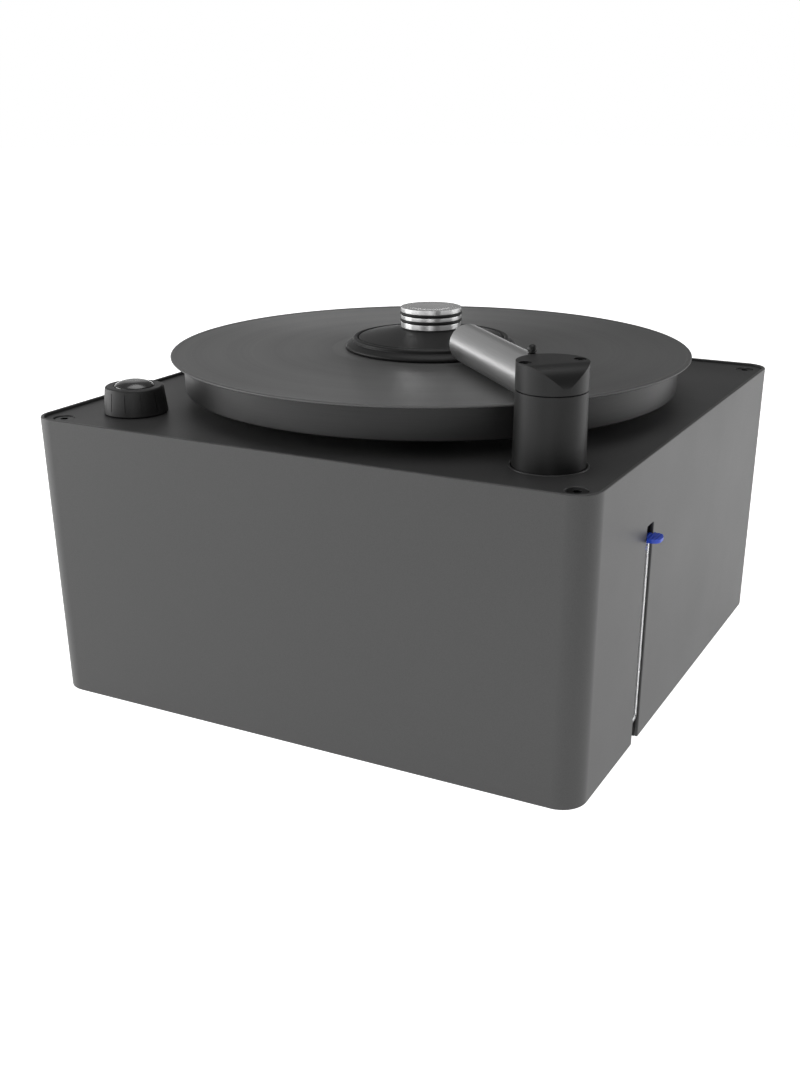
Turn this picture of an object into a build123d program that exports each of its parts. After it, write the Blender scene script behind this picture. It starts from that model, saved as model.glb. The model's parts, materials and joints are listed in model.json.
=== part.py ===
from build123d import *
from math import cos, sin, radians, sqrt, pi, hypot
import os

os.makedirs("parts", exist_ok=True)

# ---------------------------------------------------------------- sizes, mm
# Floor is z = 0, the front of the cabinet faces -Y, the drain slot is on +X.

ground_gap = 8.0
body_width = 326.0
body_depth = 326.0
body_height = 162.0
wall = 2.0
corner_radius = 14.0

plate_recess = 1.5
plate_thickness = 4.0
plate_side_gap = 0.3
corner_screw_inset = 13.0
corner_post_size = 18.7
foot_inset = 43.0

slot_y = -74.8
slot_width = 10.0
slot_height = 124.0

record_margin = 12.2
record_overhang = 7.3
mat_inset = 3.5
platter_lift = 6.8
platter_top_height = 17.1
platter_skin = 5.0
platter_rim = 6.0
platter_hub_radius = 24.0
mat_thickness = 1.0
record_thickness = 1.5
record_hole_radius = 3.62

spindle_radius = 6.0
spindle_nose_radius = 3.5
spindle_nose_length = 18.6
spindle_depth = 56.5
running_gap = 0.05

housing_radius = 17.0
housing_flange_radius = 34.0
bush_radius = 10.0
bush_length = 16.0
washer_thickness = 0.5

clamp_radius = 50.0
clamp_disc_radius = 42.5
clamp_ring_radius = 45.6
clamp_knob_radius = 17.5
clamp_knob_bottom = 11.9
clamp_knob_height = 11.2
clamp_insert_radius = 7.0
o_ring_section = 0.85
o_ring_levels = (3.9, 7.8)

column_side_inset = 40.0
column_front_inset = 45.4
column_base_radius = 18.1
column_neck_radius = 17.4
column_bore = 7.0
stem_radius = 12.0
stem_depth = 64.5
shoulder_depth = 18.5
guide_bore = 18.9
guide_collar_radius = 19.7
guide_depth = 56.5
head_radius = 17.43
head_height = 13.0
seam_rise = 10.2
seam_gap = 0.5
nose_round = 10.9
nose_centre = 6.5
arm_screw_at = 13.9

tube_angle = 135.0
tube_rise = 10.9
tube_radius = 10.55
tube_bore = 9.0
tube_clamp_gap = 2.17
tube_tail = 8.0
pad_thickness = 0.6
pad_width = 2.2
tube_flat = 9.8
pin_at = 25.4
pin_radius = 1.5
pin_ball = 2.4
pin_rise = 0.7

knob_side_inset = 39.6
knob_front_inset = 42.1
knob_base_radius = 17.75
knob_top_radius = 15.9
knob_gap = 0.4
knob_height = 14.9
knob_grooves = 12
cap_radius = 11.0
cap_height = 2.8
shaft_radius = 3.0

hose_wall_gap = 0.9
hose_slot_shift = -0.4
hose_radius = 3.0
hose_bore = 2.0
hose_bend_radius = 6.0
outlet_rise = 6.5
plug_slot_gap = 5.5
plug_thickness = 2.3

motor_side_gap = 69.0
motor_back_gap = 73.0
fan_bracket_gap = 1.0
fan_exhaust_gap = 8.0
exhaust_length = 9.0
fan_drop = 52.5
fan_height = 36.0
hose_run_drop = 20.5

# ------------------------------------------------------------ derived levels
body_bottom = ground_gap
body_top = ground_gap + body_height
plate_top = body_top - plate_recess
plate_bottom = plate_top - plate_thickness
platter_bottom = plate_top + platter_lift
platter_top = platter_bottom + platter_top_height
mat_top = platter_top + mat_thickness
record_top = mat_top + record_thickness
inner_x = body_width / 2 - wall
inner_y = body_depth / 2 - wall
floor_bottom = body_bottom + 1.0
floor_thickness = 2.5
floor_top = floor_bottom + floor_thickness
record_radius = min(body_width, body_depth) / 2 - record_margin
platter_radius = record_radius - record_overhang
mat_radius = platter_radius - mat_inset
corner_x = body_width / 2 - corner_screw_inset
corner_y = body_depth / 2 - corner_screw_inset
foot_x = body_width / 2 - foot_inset
foot_y = body_depth / 2 - foot_inset
column_x = body_width / 2 - column_side_inset
column_y = column_front_inset - body_depth / 2
knob_x = knob_side_inset - body_width / 2
knob_y = knob_front_inset - body_depth / 2
hose_x = inner_x - hose_wall_gap
hose_y = slot_y + hose_slot_shift
outlet_z = floor_top + outlet_rise
plug_top = body_bottom + slot_height - plug_slot_gap
motor_x = motor_side_gap - inner_x
motor_y = inner_y - motor_back_gap
spindle_bottom = plate_top - spindle_depth
stem_bottom = plate_top - stem_depth
shoulder_z = plate_top - shoulder_depth
guide_floor = plate_top - guide_depth
seam_z = record_top + seam_rise
head_low = seam_z + seam_gap
head_top = head_low + head_height
tube_axis_z = record_top + tube_rise
tube_reach = hypot(column_x, column_y) - clamp_radius - tube_clamp_gap


# ------------------------------------------------------------ shape helpers
def cyl(x, y, low, high, radius):
    return Pos(x, y, (low + high) / 2) * Cylinder(radius, high - low)


def ring(x, y, low, high, outer, inner):
    return cyl(x, y, low, high, outer) - cyl(x, y, low - 1, high + 1, inner)


def block(x0, x1, y0, y1, z0, z1):
    return Pos((x0 + x1) / 2, (y0 + y1) / 2, (z0 + z1) / 2) * Box(x1 - x0, y1 - y0, z1 - z0)


def turned(points, x=0.0, y=0.0):
    # a lathe profile of (radius, z) points, turned about the vertical through (x, y)
    outline = Polyline(*[(r, 0, z) for r, z in points], close=True)
    return Pos(x, y, 0) * revolve(make_face(outline), Axis.Z, 360)


def rounded_slab(width, depth, radius, low, high):
    sketch = Plane.XY.offset(low) * RectangleRounded(width, depth, radius)
    return extrude(sketch, high - low)


def along(angle, distance, offset=0.0):
    # a place reached from the column axis, offset to the left of the direction
    a = radians(angle)
    return (column_x + distance * cos(a) - offset * sin(a),
            column_y + distance * sin(a) + offset * cos(a))


def lying(angle, start, end, z, radius):
    # a level bar through the column axis, from start to end along the direction
    x, y = along(angle, (start + end) / 2)
    return Pos(x, y, z) * Rot(0, 0, angle) * Rot(0, 90, 0) * Cylinder(radius, end - start)


def rounded_path(points, radius):
    # straight runs joined by arcs of one radius, tangent at every joint
    spots = [Vector(*p) for p in points]
    pieces = []
    start = spots[0]
    for before, corner, after in zip(spots, spots[1:], spots[2:]):
        u = (before - corner).normalized()
        v = (after - corner).normalized()
        half = radians(u.get_angle(v) / 2)
        reach = radius * cos(half) / sin(half)
        first = corner + u * reach
        last = corner + v * reach
        middle = corner + (u + v).normalized() * (radius / sin(half) - radius)
        pieces.append(Line(start, first))
        pieces.append(ThreePointArc(first, middle, last))
        start = last
    pieces.append(Line(start, spots[-1]))
    return Wire([e for piece in pieces for e in piece.edges()])


def hex_socket(x, y, top, depth, across):
    sketch = Plane.XY.offset(top - depth) * Pos(x, y) * RegularPolygon(across / sqrt(3), 6)
    return extrude(sketch, depth + 1)


def flat_head_screw(x, y, top, length, head, shank, across):
    drop = head - shank
    body = turned([(0, top), (head, top), (head, top - 0.4), (shank, top - 0.4 - drop),
                   (shank, top - length), (0, top - length)], x, y)
    return body - hex_socket(x, y, top, drop * 0.8, across)


def sink_hole(x, y, top, bottom, head, shank):
    # a countersunk clearance hole through a plate
    return turned([(0, top + 1), (head, top + 1), (head, top - 0.5), (shank, top - 0.5 - (head - shank)),
                   (shank, bottom - 1), (0, bottom - 1)], x, y)


def four(x, y=None):
    y = x if y is None else y
    return [(x, y), (-x, y), (-x, -y), (x, -y)]


def save(shape, name):
    shape.label = name
    export_step(shape, "parts/" + name + ".step")


def save_set(shapes, name):
    save(Compound(children=list(shapes)), name)


# ------------------------------------------------------------ cabinet
shell = rounded_slab(body_width, body_depth, corner_radius, body_bottom, body_top)
shell -= rounded_slab(inner_x * 2, inner_y * 2, corner_radius - wall, body_bottom - 1, body_top + 1)
shell -= block(inner_x - 1, inner_x + wall + 1, slot_y - slot_width / 2, slot_y + slot_width / 2,
               body_bottom - 1, body_bottom + slot_height)

# air leaves the fan through slots in the back wall
fan_high = plate_bottom - fan_drop
fan_low = fan_high - fan_height
exhaust_low = fan_low + 7.0
exhaust_high = fan_high - 5.0
exhaust_half = 21.0
vent_pitch = 4.4
vent_half = 1.2
for i in range(-2, 3):
    level = (exhaust_low + exhaust_high) / 2 + vent_pitch * i
    shell -= block(motor_x - exhaust_half + 3, motor_x + exhaust_half - 3, inner_y - 1, inner_y + wall + 1,
                   level - vent_half, level + vent_half)

# mains module opening in the back wall
inlet_side_gap = 66.0
inlet_rise = 40.5
inlet_half_x = 13.5
inlet_half_z = 23.5
inlet_play = 0.5
inlet_x = inner_x - inlet_side_gap
inlet_z = floor_top + inlet_rise
shell -= block(inlet_x - inlet_half_x - inlet_play, inlet_x + inlet_half_x + inlet_play,
               inner_y - 1, inner_y + wall + 1,
               inlet_z - inlet_half_z - inlet_play, inlet_z + inlet_half_z + inlet_play)
save(shell, "shell")

# top plate, set just below the rim
plate_x = inner_x - plate_side_gap
plate_y = inner_y - plate_side_gap
top_plate = rounded_slab(plate_x * 2, plate_y * 2, corner_radius - wall - plate_side_gap,
                         plate_bottom, plate_top)
sink = 6.1
sink_gap = 0.4
screw_shank = 3.0
screw_play = 0.2
for x, y in four(corner_x, corner_y):
    top_plate -= sink_hole(x, y, plate_top, plate_bottom, sink, screw_shank + screw_play)

small_head = 3.8
small_shank = 2.0
small_play = 0.1
housing_screw_circle = 26.0
drive_post_at = 42.0
hidden_screws = [(housing_screw_circle * cos(radians(a)), housing_screw_circle * sin(radians(a)))
                 for a in range(45, 360, 90)]
hidden_screws += four(drive_post_at)
for x, y in hidden_screws:
    top_plate -= sink_hole(x, y, plate_top, plate_bottom, small_head + small_play * 2,
                           small_shank + small_play)
switch_neck = 4.8
top_plate -= cyl(0, 0, plate_bottom - 1, plate_top + 1, housing_radius + 0.2)
top_plate -= cyl(column_x, column_y, plate_bottom - 1, plate_top + 1, guide_collar_radius)
top_plate -= cyl(knob_x, knob_y, plate_bottom - 1, plate_top + 1, switch_neck + 0.2)
save(top_plate, "top_plate")

corner_screw_length = 18.0
save_set([flat_head_screw(x, y, plate_top - 0.35, corner_screw_length, sink - sink_gap, screw_shank, 4.0)
          for x, y in four(corner_x, corner_y)], "top_plate_screws")
housing_flange = 4.0
flange_screws = [flat_head_screw(x, y, plate_top - 0.2, plate_thickness + housing_flange - 0.5, small_head,
                                 small_shank, 2.5) for x, y in hidden_screws[:4]]
post_screws = [flat_head_screw(x, y, plate_top - 0.2, plate_thickness + 7.0, small_head,
                               small_shank, 2.5) for x, y in hidden_screws[4:]]
save_set(flange_screws + post_screws, "hidden_plate_screws")

# corner posts, flat against both walls and clear of the rounded corner
post_x = inner_x - corner_post_size
post_y = inner_y - corner_post_size
post_cut = corner_radius - wall
base_screw_shank = 2.5
base_screw_length = 15.0
thread_gap = 0.05
post_shape = extrude(Plane.XY.offset(floor_top) * make_face(Polyline(
    (post_x, post_y), (inner_x, post_y), (inner_x, inner_y - post_cut),
    (inner_x - post_cut, inner_y), (post_x, inner_y), close=True)), plate_bottom - floor_top)
post_shape -= cyl(corner_x, corner_y, plate_top - corner_screw_length - 1, plate_bottom + 1,
                  screw_shank + thread_gap)
post_shape -= cyl(corner_x, corner_y, floor_top - 1, floor_top + base_screw_length + 1,
                  base_screw_shank + thread_gap)
corner_posts = [post_shape, mirror(post_shape, Plane.YZ)]
corner_posts += [mirror(post, Plane.XZ) for post in corner_posts]
save_set(corner_posts, "corner_posts")

# base plate, cut away round the drain channel
channel_depth = 10.7
channel_back = inner_x - channel_depth
channel_wall = 1.2
channel_half = slot_width / 2 + 0.2
channel_top = body_bottom + slot_height + 0.2
base_plate = rounded_slab(plate_x * 2, plate_y * 2, corner_radius - wall - plate_side_gap,
                          floor_bottom, floor_top)
base_plate -= block(channel_back - 0.5, inner_x + 1, slot_y - channel_half - channel_wall - 0.4,
                    slot_y + channel_half + channel_wall + 0.4, floor_bottom - 1, floor_top + 1)
for x, y in four(corner_x, corner_y):
    base_plate -= cyl(x, y, floor_bottom - 1, floor_top + 1, base_screw_shank + 0.1)
for x, y in four(foot_x, foot_y):
    base_plate -= sink_hole(x, y, floor_top, floor_bottom, small_head + small_play * 2,
                            small_shank + small_play)
base_vent_pitch = 7.0
base_vent_half = 1.5
for i in range(-3, 4):
    level = motor_y + base_vent_pitch * i
    base_plate -= block(motor_x - 8, motor_x + 40, level - base_vent_half, level + base_vent_half,
                        floor_bottom - 1, floor_top + 1)
save(base_plate, "base_plate")

base_head_radius = 4.6
base_head_height = 2.4
base_screw = turned([
    (0, floor_bottom - base_head_height), (base_head_radius - 1, floor_bottom - base_head_height),
    (base_head_radius, floor_bottom - base_head_height + 1), (base_head_radius, floor_bottom),
    (base_screw_shank, floor_bottom), (base_screw_shank, floor_top + base_screw_length),
    (0, floor_top + base_screw_length)])
base_screw -= Pos(0, 0, floor_bottom - base_head_height) * Box(1.2, base_head_radius * 1.3, base_head_height)
save_set([Pos(x, y, 0) * base_screw for x, y in four(corner_x, corner_y)], "base_screws")

# solid round feet, each held by a countersunk screw from inside the cabinet
foot_radius = 15.0
foot_thread = 3.4
foot_screw_seat = 0.1
foot = turned([(0, 0), (foot_radius - 0.4, 0), (foot_radius, 0.4), (foot_radius, floor_bottom),
               (0, floor_bottom)])
foot -= cyl(0, 0, floor_bottom - foot_thread - foot_screw_seat, floor_bottom + 1, small_shank + thread_gap)
save_set([Pos(x, y, 0) * foot for x, y in four(foot_x, foot_y)], "feet")
save_set([flat_head_screw(x, y, floor_top - foot_screw_seat, floor_thickness + foot_thread - foot_screw_seat,
                          small_head, small_shank, 2.5) for x, y in four(foot_x, foot_y)], "foot_screws")

# ------------------------------------------------------------ platter drive
hub_bore = spindle_radius + running_gap
platter = turned([
    (hub_bore, platter_bottom), (platter_hub_radius, platter_bottom),
    (platter_hub_radius, platter_top - platter_skin),
    (platter_radius - platter_rim, platter_top - platter_skin),
    (platter_radius - platter_rim, platter_bottom), (platter_radius - 0.6, platter_bottom),
    (platter_radius, platter_bottom + 0.6), (platter_radius, platter_top - 0.6),
    (platter_radius - 0.6, platter_top), (hub_bore, platter_top)])
for i in range(6):
    rib = block(platter_hub_radius - 1, platter_radius - platter_rim + 1, -1.5, 1.5,
                platter_bottom + 4, platter_top - platter_skin + 0.5)
    platter += Rot(0, 0, 60 * i + 30) * rib
save(platter, "platter")

mat = ring(0, 0, platter_top, mat_top, mat_radius, 8.0)
save(mat, "platter_mat")

# a thin disc with a raised bead at the edge and round the label
record = turned([
    (record_hole_radius, mat_top), (record_radius - 0.5, mat_top),
    (record_radius, mat_top + 0.5), (record_radius, record_top - 0.5),
    (record_radius - 0.5, record_top - 0.1), (record_radius - 2.2, record_top - 0.1),
    (record_radius - 3.2, record_top - 0.3), (58.0, record_top - 0.3),
    (52.0, record_top), (record_hole_radius, record_top)])
save(record, "record_disc")

# spindle: a shaft with a shoulder under the mat hole and a threaded nose
nose_top = record_top + spindle_nose_length
thread_root = spindle_nose_radius - 0.35
nose_profile = [(0, spindle_bottom), (spindle_radius - 0.5, spindle_bottom),
                (spindle_radius, spindle_bottom + 0.5), (spindle_radius, platter_top + 0.6),
                (spindle_nose_radius, platter_top + 0.6), (spindle_nose_radius, record_top + 2.0)]
groove_pitch = 2.0
level = record_top + 2.0
while level + groove_pitch < nose_top - 1.0:
    nose_profile += [(thread_root, level + 0.5), (thread_root, level + 1.0),
                     (spindle_nose_radius, level + 1.5), (spindle_nose_radius, level + groove_pitch)]
    level += groove_pitch
nose_profile += [(spindle_nose_radius, nose_top - 1.0), (spindle_nose_radius - 1.0, nose_top), (0, nose_top)]
save(turned(nose_profile), "spindle")

# bearing housing under the plate, its boss rises through it to carry the platter
boss_top = platter_bottom - washer_thickness
housing_depth = 44.5
housing_bottom = plate_top - housing_depth
housing = cyl(0, 0, housing_bottom, boss_top, housing_radius)
housing += cyl(0, 0, plate_bottom - housing_flange, plate_bottom, housing_flange_radius)
housing -= cyl(0, 0, housing_bottom - 1, boss_top + 1, spindle_radius + 1.0)
for low in (housing_bottom, boss_top - bush_length):
    housing -= cyl(0, 0, low - 0.01, low + bush_length + 0.01, bush_radius)
for x, y in hidden_screws[:4]:
    housing -= cyl(x, y, plate_bottom - housing_flange - 1, plate_bottom + 1, small_shank + thread_gap)
save(housing, "bearing_housing")
save_set([ring(0, 0, low, low + bush_length, bush_radius, spindle_radius + running_gap)
          for low in (housing_bottom, boss_top - bush_length)], "spindle_bearings")
save(ring(0, 0, boss_top, platter_bottom, housing_radius - 1, spindle_radius + 0.3), "thrust_washer")

# gear motor hung on four posts, driving the spindle through a coupling
drive_shaft_gap = 13.0
bracket_thickness = 3.0
bracket_size = 104.0
bracket_corner = 8.0
bracket_top = spindle_bottom - drive_shaft_gap
bracket_bottom = bracket_top - bracket_thickness
post_radius = 5.0
post_stud = 2.0
nut_height = 3.2
drive_posts = []
for x, y in four(drive_post_at):
    post = cyl(x, y, bracket_top, plate_bottom, post_radius)
    post -= cyl(x, y, plate_bottom - 10, plate_bottom + 1, small_shank + thread_gap)
    post += cyl(x, y, bracket_bottom - nut_height * 2, bracket_top, post_stud)
    drive_posts.append(post)
save_set(drive_posts, "drive_posts")
motor_boss = 14.0
motor_boss_height = 4.0
gearbox_radius = 32.0
gearbox_height = 30.0
drive_motor_radius = 27.0
drive_motor_height = 32.0
drive_shaft_radius = 3.0
motor_screw_circle = 23.0
bracket = rounded_slab(bracket_size, bracket_size, bracket_corner, bracket_bottom, bracket_top)
bracket -= cyl(0, 0, bracket_bottom - 1, bracket_top + 1, motor_boss + 0.1)
for x, y in four(drive_post_at):
    bracket -= cyl(x, y, bracket_bottom - 1, bracket_top + 1, post_stud + thread_gap)
motor_screw_spots = [(motor_screw_circle * cos(radians(a)), motor_screw_circle * sin(radians(a)))
                     for a in range(0, 360, 90)]
for x, y in motor_screw_spots:
    bracket -= cyl(x, y, bracket_bottom - 1, bracket_top + 1, 1.8)
save(bracket, "motor_bracket")
nut = extrude(Plane.XY.offset(bracket_bottom - nut_height) * RegularPolygon(post_stud * 2, 6), nut_height)
nut -= cyl(0, 0, bracket_bottom - nut_height - 1, bracket_bottom + 1, post_stud)
save_set([Pos(x, y, 0) * nut for x, y in four(drive_post_at)], "bracket_nuts")
gearbox_bottom = bracket_bottom - gearbox_height
motor_bottom = gearbox_bottom - drive_motor_height
gear_motor = cyl(0, 0, gearbox_bottom, bracket_bottom, gearbox_radius)
gear_motor += cyl(0, 0, bracket_bottom, bracket_bottom + motor_boss_height, motor_boss)
gear_motor += cyl(0, 0, motor_bottom, gearbox_bottom, drive_motor_radius)
gear_motor += block(-6, 6, drive_motor_radius - 1, drive_motor_radius + 3.5,
                    motor_bottom + 4, motor_bottom + 20)
gear_motor -= cyl(0, 0, bracket_bottom - 12, bracket_top + 2, drive_shaft_radius + running_gap)
for x, y in motor_screw_spots:
    gear_motor -= cyl(x, y, bracket_bottom - 8, bracket_bottom + 1, 1.5)
save(gear_motor, "gear_motor")
save(cyl(0, 0, bracket_bottom - 11.5, spindle_bottom - 1, drive_shaft_radius), "motor_shaft")
coupling_half = 10.5
coupling_radius = 12.0
coupling = cyl(0, 0, spindle_bottom - coupling_half, spindle_bottom + coupling_half, coupling_radius)
coupling -= cyl(0, 0, spindle_bottom - 0.5, spindle_bottom + coupling_half + 1, spindle_radius + 0.02)
coupling -= cyl(0, 0, spindle_bottom - coupling_half - 1, spindle_bottom, drive_shaft_radius + 0.02)
for z in (spindle_bottom - coupling_half * 0.6, spindle_bottom + coupling_half * 0.6):
    coupling -= Pos(coupling_radius - 3, 0, z) * Rot(0, 90, 0) * Cylinder(1.5, 8.0)
save(coupling, "shaft_coupling")

# ------------------------------------------------------------ record clamp
base = record_top
knob_low = base + clamp_knob_bottom
knob_high = knob_low + clamp_knob_height
clamp_dish_radius = 9.8
insert_top = knob_high - 3.0
insert_foot = 10.4
puck = turned([
    (clamp_insert_radius + 0.1, base + 3.6), (insert_foot + 0.2, base + 3.6),
    (insert_foot + 0.2, base + 1.2),
    (clamp_disc_radius, base + 1.2), (clamp_disc_radius, base + 5.6),
    (clamp_disc_radius - 0.8, base + 6.4), (clamp_knob_radius + 0.9, knob_low - 1.2),
    (clamp_knob_radius - 0.5, knob_low - 0.1),
    (clamp_insert_radius + 0.1, knob_low - 0.1)])
save(puck, "clamp_puck")


def bulge(r_out, z_low, z_high, bow, steps=7):
    # points down the outside of a soft rubber lip that bows out to r_out
    pts = []
    for i in range(steps + 1):
        t = i / steps
        a = pi * t
        pts.append((r_out - bow + bow * sin(a), z_high + (z_low - z_high) * t))
    return pts


seal_points = [(clamp_disc_radius, base + 0.5), (clamp_disc_radius, base + 5.8),
               (clamp_disc_radius + 0.6, base + 6.4), (clamp_ring_radius - 0.8, base + 6.4),
               (clamp_ring_radius, base + 5.6), (clamp_ring_radius, base + 3.9)]
seal_points += bulge(clamp_radius, base, base + 2.9, 2.6)
seal_points += [(clamp_radius - 4.0, base), (clamp_radius - 6.0, base + 0.5)]
save(turned(seal_points), "clamp_seal")

clamp_knob = turned([
    (clamp_insert_radius, knob_low), (clamp_knob_radius - 0.4, knob_low),
    (clamp_knob_radius, knob_low + 0.4), (clamp_knob_radius, knob_high - 0.5),
    (clamp_knob_radius - 0.5, knob_high), (clamp_dish_radius, knob_high),
    (clamp_dish_radius - 0.4, knob_high - 0.5), (clamp_dish_radius * 0.6, knob_high - 0.95),
    (0, knob_high - 1.15), (0, insert_top), (clamp_insert_radius, insert_top)])
o_ring_proud = 0.55
o_ring_centre = clamp_knob_radius + o_ring_proud - o_ring_section
for level in o_ring_levels:
    clamp_knob -= ring(0, 0, knob_low + level - o_ring_section, knob_low + level + o_ring_section,
                       clamp_knob_radius + 1, o_ring_centre - o_ring_section)
save(clamp_knob, "clamp_knob")
save_set([Pos(0, 0, knob_low + level) * Torus(o_ring_centre, o_ring_section)
          for level in o_ring_levels], "clamp_o_rings")

insert = ring(0, 0, base + 1.6, insert_top, clamp_insert_radius, spindle_nose_radius + running_gap)
insert += ring(0, 0, base + 1.6, base + 3.5, insert_foot, spindle_nose_radius + running_gap)
save(insert, "clamp_insert")

# ------------------------------------------------------------ suction arm
arm_column = turned([
    (column_bore, stem_bottom), (stem_radius - 1, stem_bottom), (stem_radius, stem_bottom + 1),
    (stem_radius, shoulder_z), (column_base_radius, shoulder_z), (column_base_radius, plate_top),
    (column_base_radius - 0.25, plate_top + 8), (column_neck_radius + 0.2, record_top - 3.8),
    (column_neck_radius, seam_z), (column_neck_radius - 0.9, seam_z),
    (column_neck_radius - 0.9, seam_z + seam_gap), (column_bore, seam_z + seam_gap)], column_x, column_y)
tube_hole = tube_radius + 0.02
arm_screw_shank = 1.5
arm_screw_head = 2.75
arm_screw_depth = 15.1
arm_column -= lying(tube_angle, -tube_tail, 30, tube_axis_z, tube_hole)
for side in (-1, 1):
    x, y = along(tube_angle, 0, side * arm_screw_at)
    arm_column -= cyl(x, y, seam_z - arm_screw_depth - 1, seam_z + 2, arm_screw_shank)
# a groove for the clip that stops the column from lifting out of its guide
clip_thickness = 1.6
clip_low = guide_floor - clip_thickness - 0.4
arm_column -= ring(column_x, column_y, clip_low, clip_low + clip_thickness,
                   stem_radius + 1, stem_radius - 1.0)
save(arm_column, "arm_column")

arm_head = cyl(column_x, column_y, head_low, head_top, head_radius)
head_well = 4.2
# the side away from the tube rolls down in a quarter round
x, y = along(tube_angle, -(nose_centre + 20))
roll_block = Pos(x, y, head_top - nose_round + 20) * Rot(0, 0, tube_angle) * Box(40, 60, 40)
x, y = along(tube_angle, -nose_centre)
roll_bar = Pos(x, y, head_top - nose_round) * Rot(0, 0, tube_angle) * Rot(90, 0, 0) * Cylinder(nose_round, 80)
arm_head -= roll_block - roll_bar
arm_head -= lying(tube_angle, -tube_tail, 30, tube_axis_z, tube_hole)
for side in (-1, 1):
    x, y = along(tube_angle, 0, side * arm_screw_at)
    arm_head -= cyl(x, y, head_top - head_well, head_top + 1, arm_screw_head + 0.35)
    arm_head -= cyl(x, y, head_low - 1, head_top, arm_screw_shank + 0.1)
save(arm_head, "arm_head")

arm_screws = []
for side in (-1, 1):
    x, y = along(tube_angle, 0, side * arm_screw_at)
    screw = cyl(x, y, head_top - head_well, head_top - 1.2, arm_screw_head)
    screw += cyl(x, y, seam_z - arm_screw_depth, head_top - head_well, arm_screw_shank)
    screw -= hex_socket(x, y, head_top - 1.2, 1.6, 2.5)
    arm_screws.append(screw)
save_set(arm_screws, "arm_screws")

tube = lying(tube_angle, -tube_tail, tube_reach, tube_axis_z, tube_radius)
tube_ends = tube.edges().filter_by(GeomType.CIRCLE)
tube = fillet([e for e in tube_ends if e.center().X < column_x - tube_reach / 3], 0.7)
tube -= lying(tube_angle, -tube_tail - 1, tube_reach + 1, tube_axis_z, tube_bore)
# underneath, a flat for the pads and the slot that draws the fluid in
slot_start = 24.0
slot_end = tube_reach - 10.0
flat_start = 16.5
x, y = along(tube_angle, (slot_start + slot_end) / 2)
slot_long = slot_end - slot_start
tube_under = lying(tube_angle, flat_start, tube_reach + 1, tube_axis_z, tube_radius + 1)
under_x, under_y = along(tube_angle, (flat_start + tube_reach) / 2)
tube -= tube_under & Pos(under_x, under_y, tube_axis_z - tube_flat - 5) \
    * Box(tube_reach * 2, tube_reach * 2, 10)
tube -= Pos(x, y, tube_axis_z - tube_bore) * Rot(0, 0, tube_angle) * Box(slot_long, 1.6, 6)
tube -= cyl(column_x, column_y, tube_axis_z - tube_radius - 4, tube_axis_z, column_bore - 0.5)
x, y = along(tube_angle, pin_at)
tube -= cyl(x, y, tube_axis_z, tube_axis_z + tube_radius + 2, pin_radius)
save(tube, "arm_tube")

pads = []
for side in (-1, 1):
    x, y = along(tube_angle, (slot_start + slot_end) / 2, side * (pad_width / 2 + 1.0))
    pads.append(Pos(x, y, tube_axis_z - tube_flat - pad_thickness / 2) * Rot(0, 0, tube_angle)
                * Box(slot_long, pad_width, pad_thickness))
save_set(pads, "suction_pads")
save(lying(tube_angle, tube_reach - 4.5, tube_reach - 0.1, tube_axis_z, tube_bore), "tube_end_cap")

x, y = along(tube_angle, pin_at)
pin_ball_z = head_top + pin_rise
pin = cyl(x, y, tube_axis_z + tube_bore + 0.1, pin_ball_z, pin_radius)
pin += cyl(x, y, tube_axis_z + tube_radius + 0.1, tube_axis_z + tube_radius + 0.9, pin_radius + 0.6)
pin += Pos(x, y, pin_ball_z) * Sphere(pin_ball)
save(pin, "arm_pin")

# guide pressed into the top plate, with the lift sleeve and spring inside it
guide_flange_radius = 31.0
guide_outer_radius = 23.0
guide_chamfer = 0.7
guide_seat = guide_floor + 4.0
guide = turned([
    (guide_bore, plate_top - guide_chamfer), (guide_collar_radius - 0.1, plate_top),
    (guide_collar_radius, plate_top - 0.1), (guide_collar_radius, plate_bottom),
    (guide_flange_radius, plate_bottom), (guide_flange_radius, plate_bottom - 3),
    (guide_outer_radius, plate_bottom - 3), (guide_outer_radius, guide_floor),
    (stem_radius + 0.1, guide_floor), (stem_radius + 0.1, guide_seat), (guide_bore, guide_seat)],
    column_x, column_y)
save(guide, "column_guide")
sleeve_length = 10.0
sleeve = ring(column_x, column_y, shoulder_z - sleeve_length, shoulder_z, guide_bore - running_gap,
              stem_radius + running_gap)
save(sleeve, "lift_sleeve")
clip = ring(column_x, column_y, clip_low, clip_low + clip_thickness, stem_radius + 3.0, stem_radius - 0.95)
clip -= block(column_x, column_x + 20, column_y - 4.0, column_y + 4.0, clip_low - 1, clip_low + 3)
save(clip, "column_clip")

spring_wire = 1.2
spring_mean = 15.6
spring_low = guide_seat + spring_wire
spring_high = shoulder_z - sleeve_length - spring_wire
coil = Helix(pitch=(spring_high - spring_low) / 4.5, height=spring_high - spring_low, radius=spring_mean)
wire_face = Plane(origin=coil @ 0, z_dir=coil % 0) * Circle(spring_wire)
spring = Pos(column_x, column_y, spring_low) * sweep(wire_face, path=coil, is_frenet=True)
save(spring, "column_spring")

# ------------------------------------------------------------ tank and fan
tank_x0 = -30.0
tank_x1 = channel_back - 8.8
tank_y0 = 6.0 - inner_y
tank_y1 = slot_y + 10.8
tank_lid_gap = 10.0
tank_lid_height = 4.0
lid_top = guide_floor - tank_lid_gap
tank_top = lid_top - tank_lid_height
tank_wall = 2.5
tank_corner = 8.0
tank = block(tank_x0, tank_x1, tank_y0, tank_y1, floor_top, tank_top)
tank = fillet(tank.edges().filter_by(Axis.Z), tank_corner)
inner = block(tank_x0 + tank_wall, tank_x1 - tank_wall, tank_y0 + tank_wall, tank_y1 - tank_wall,
              floor_top + tank_wall, tank_top + 1)
tank -= fillet(inner.edges().filter_by(Axis.Z), tank_corner - tank_wall)
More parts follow.
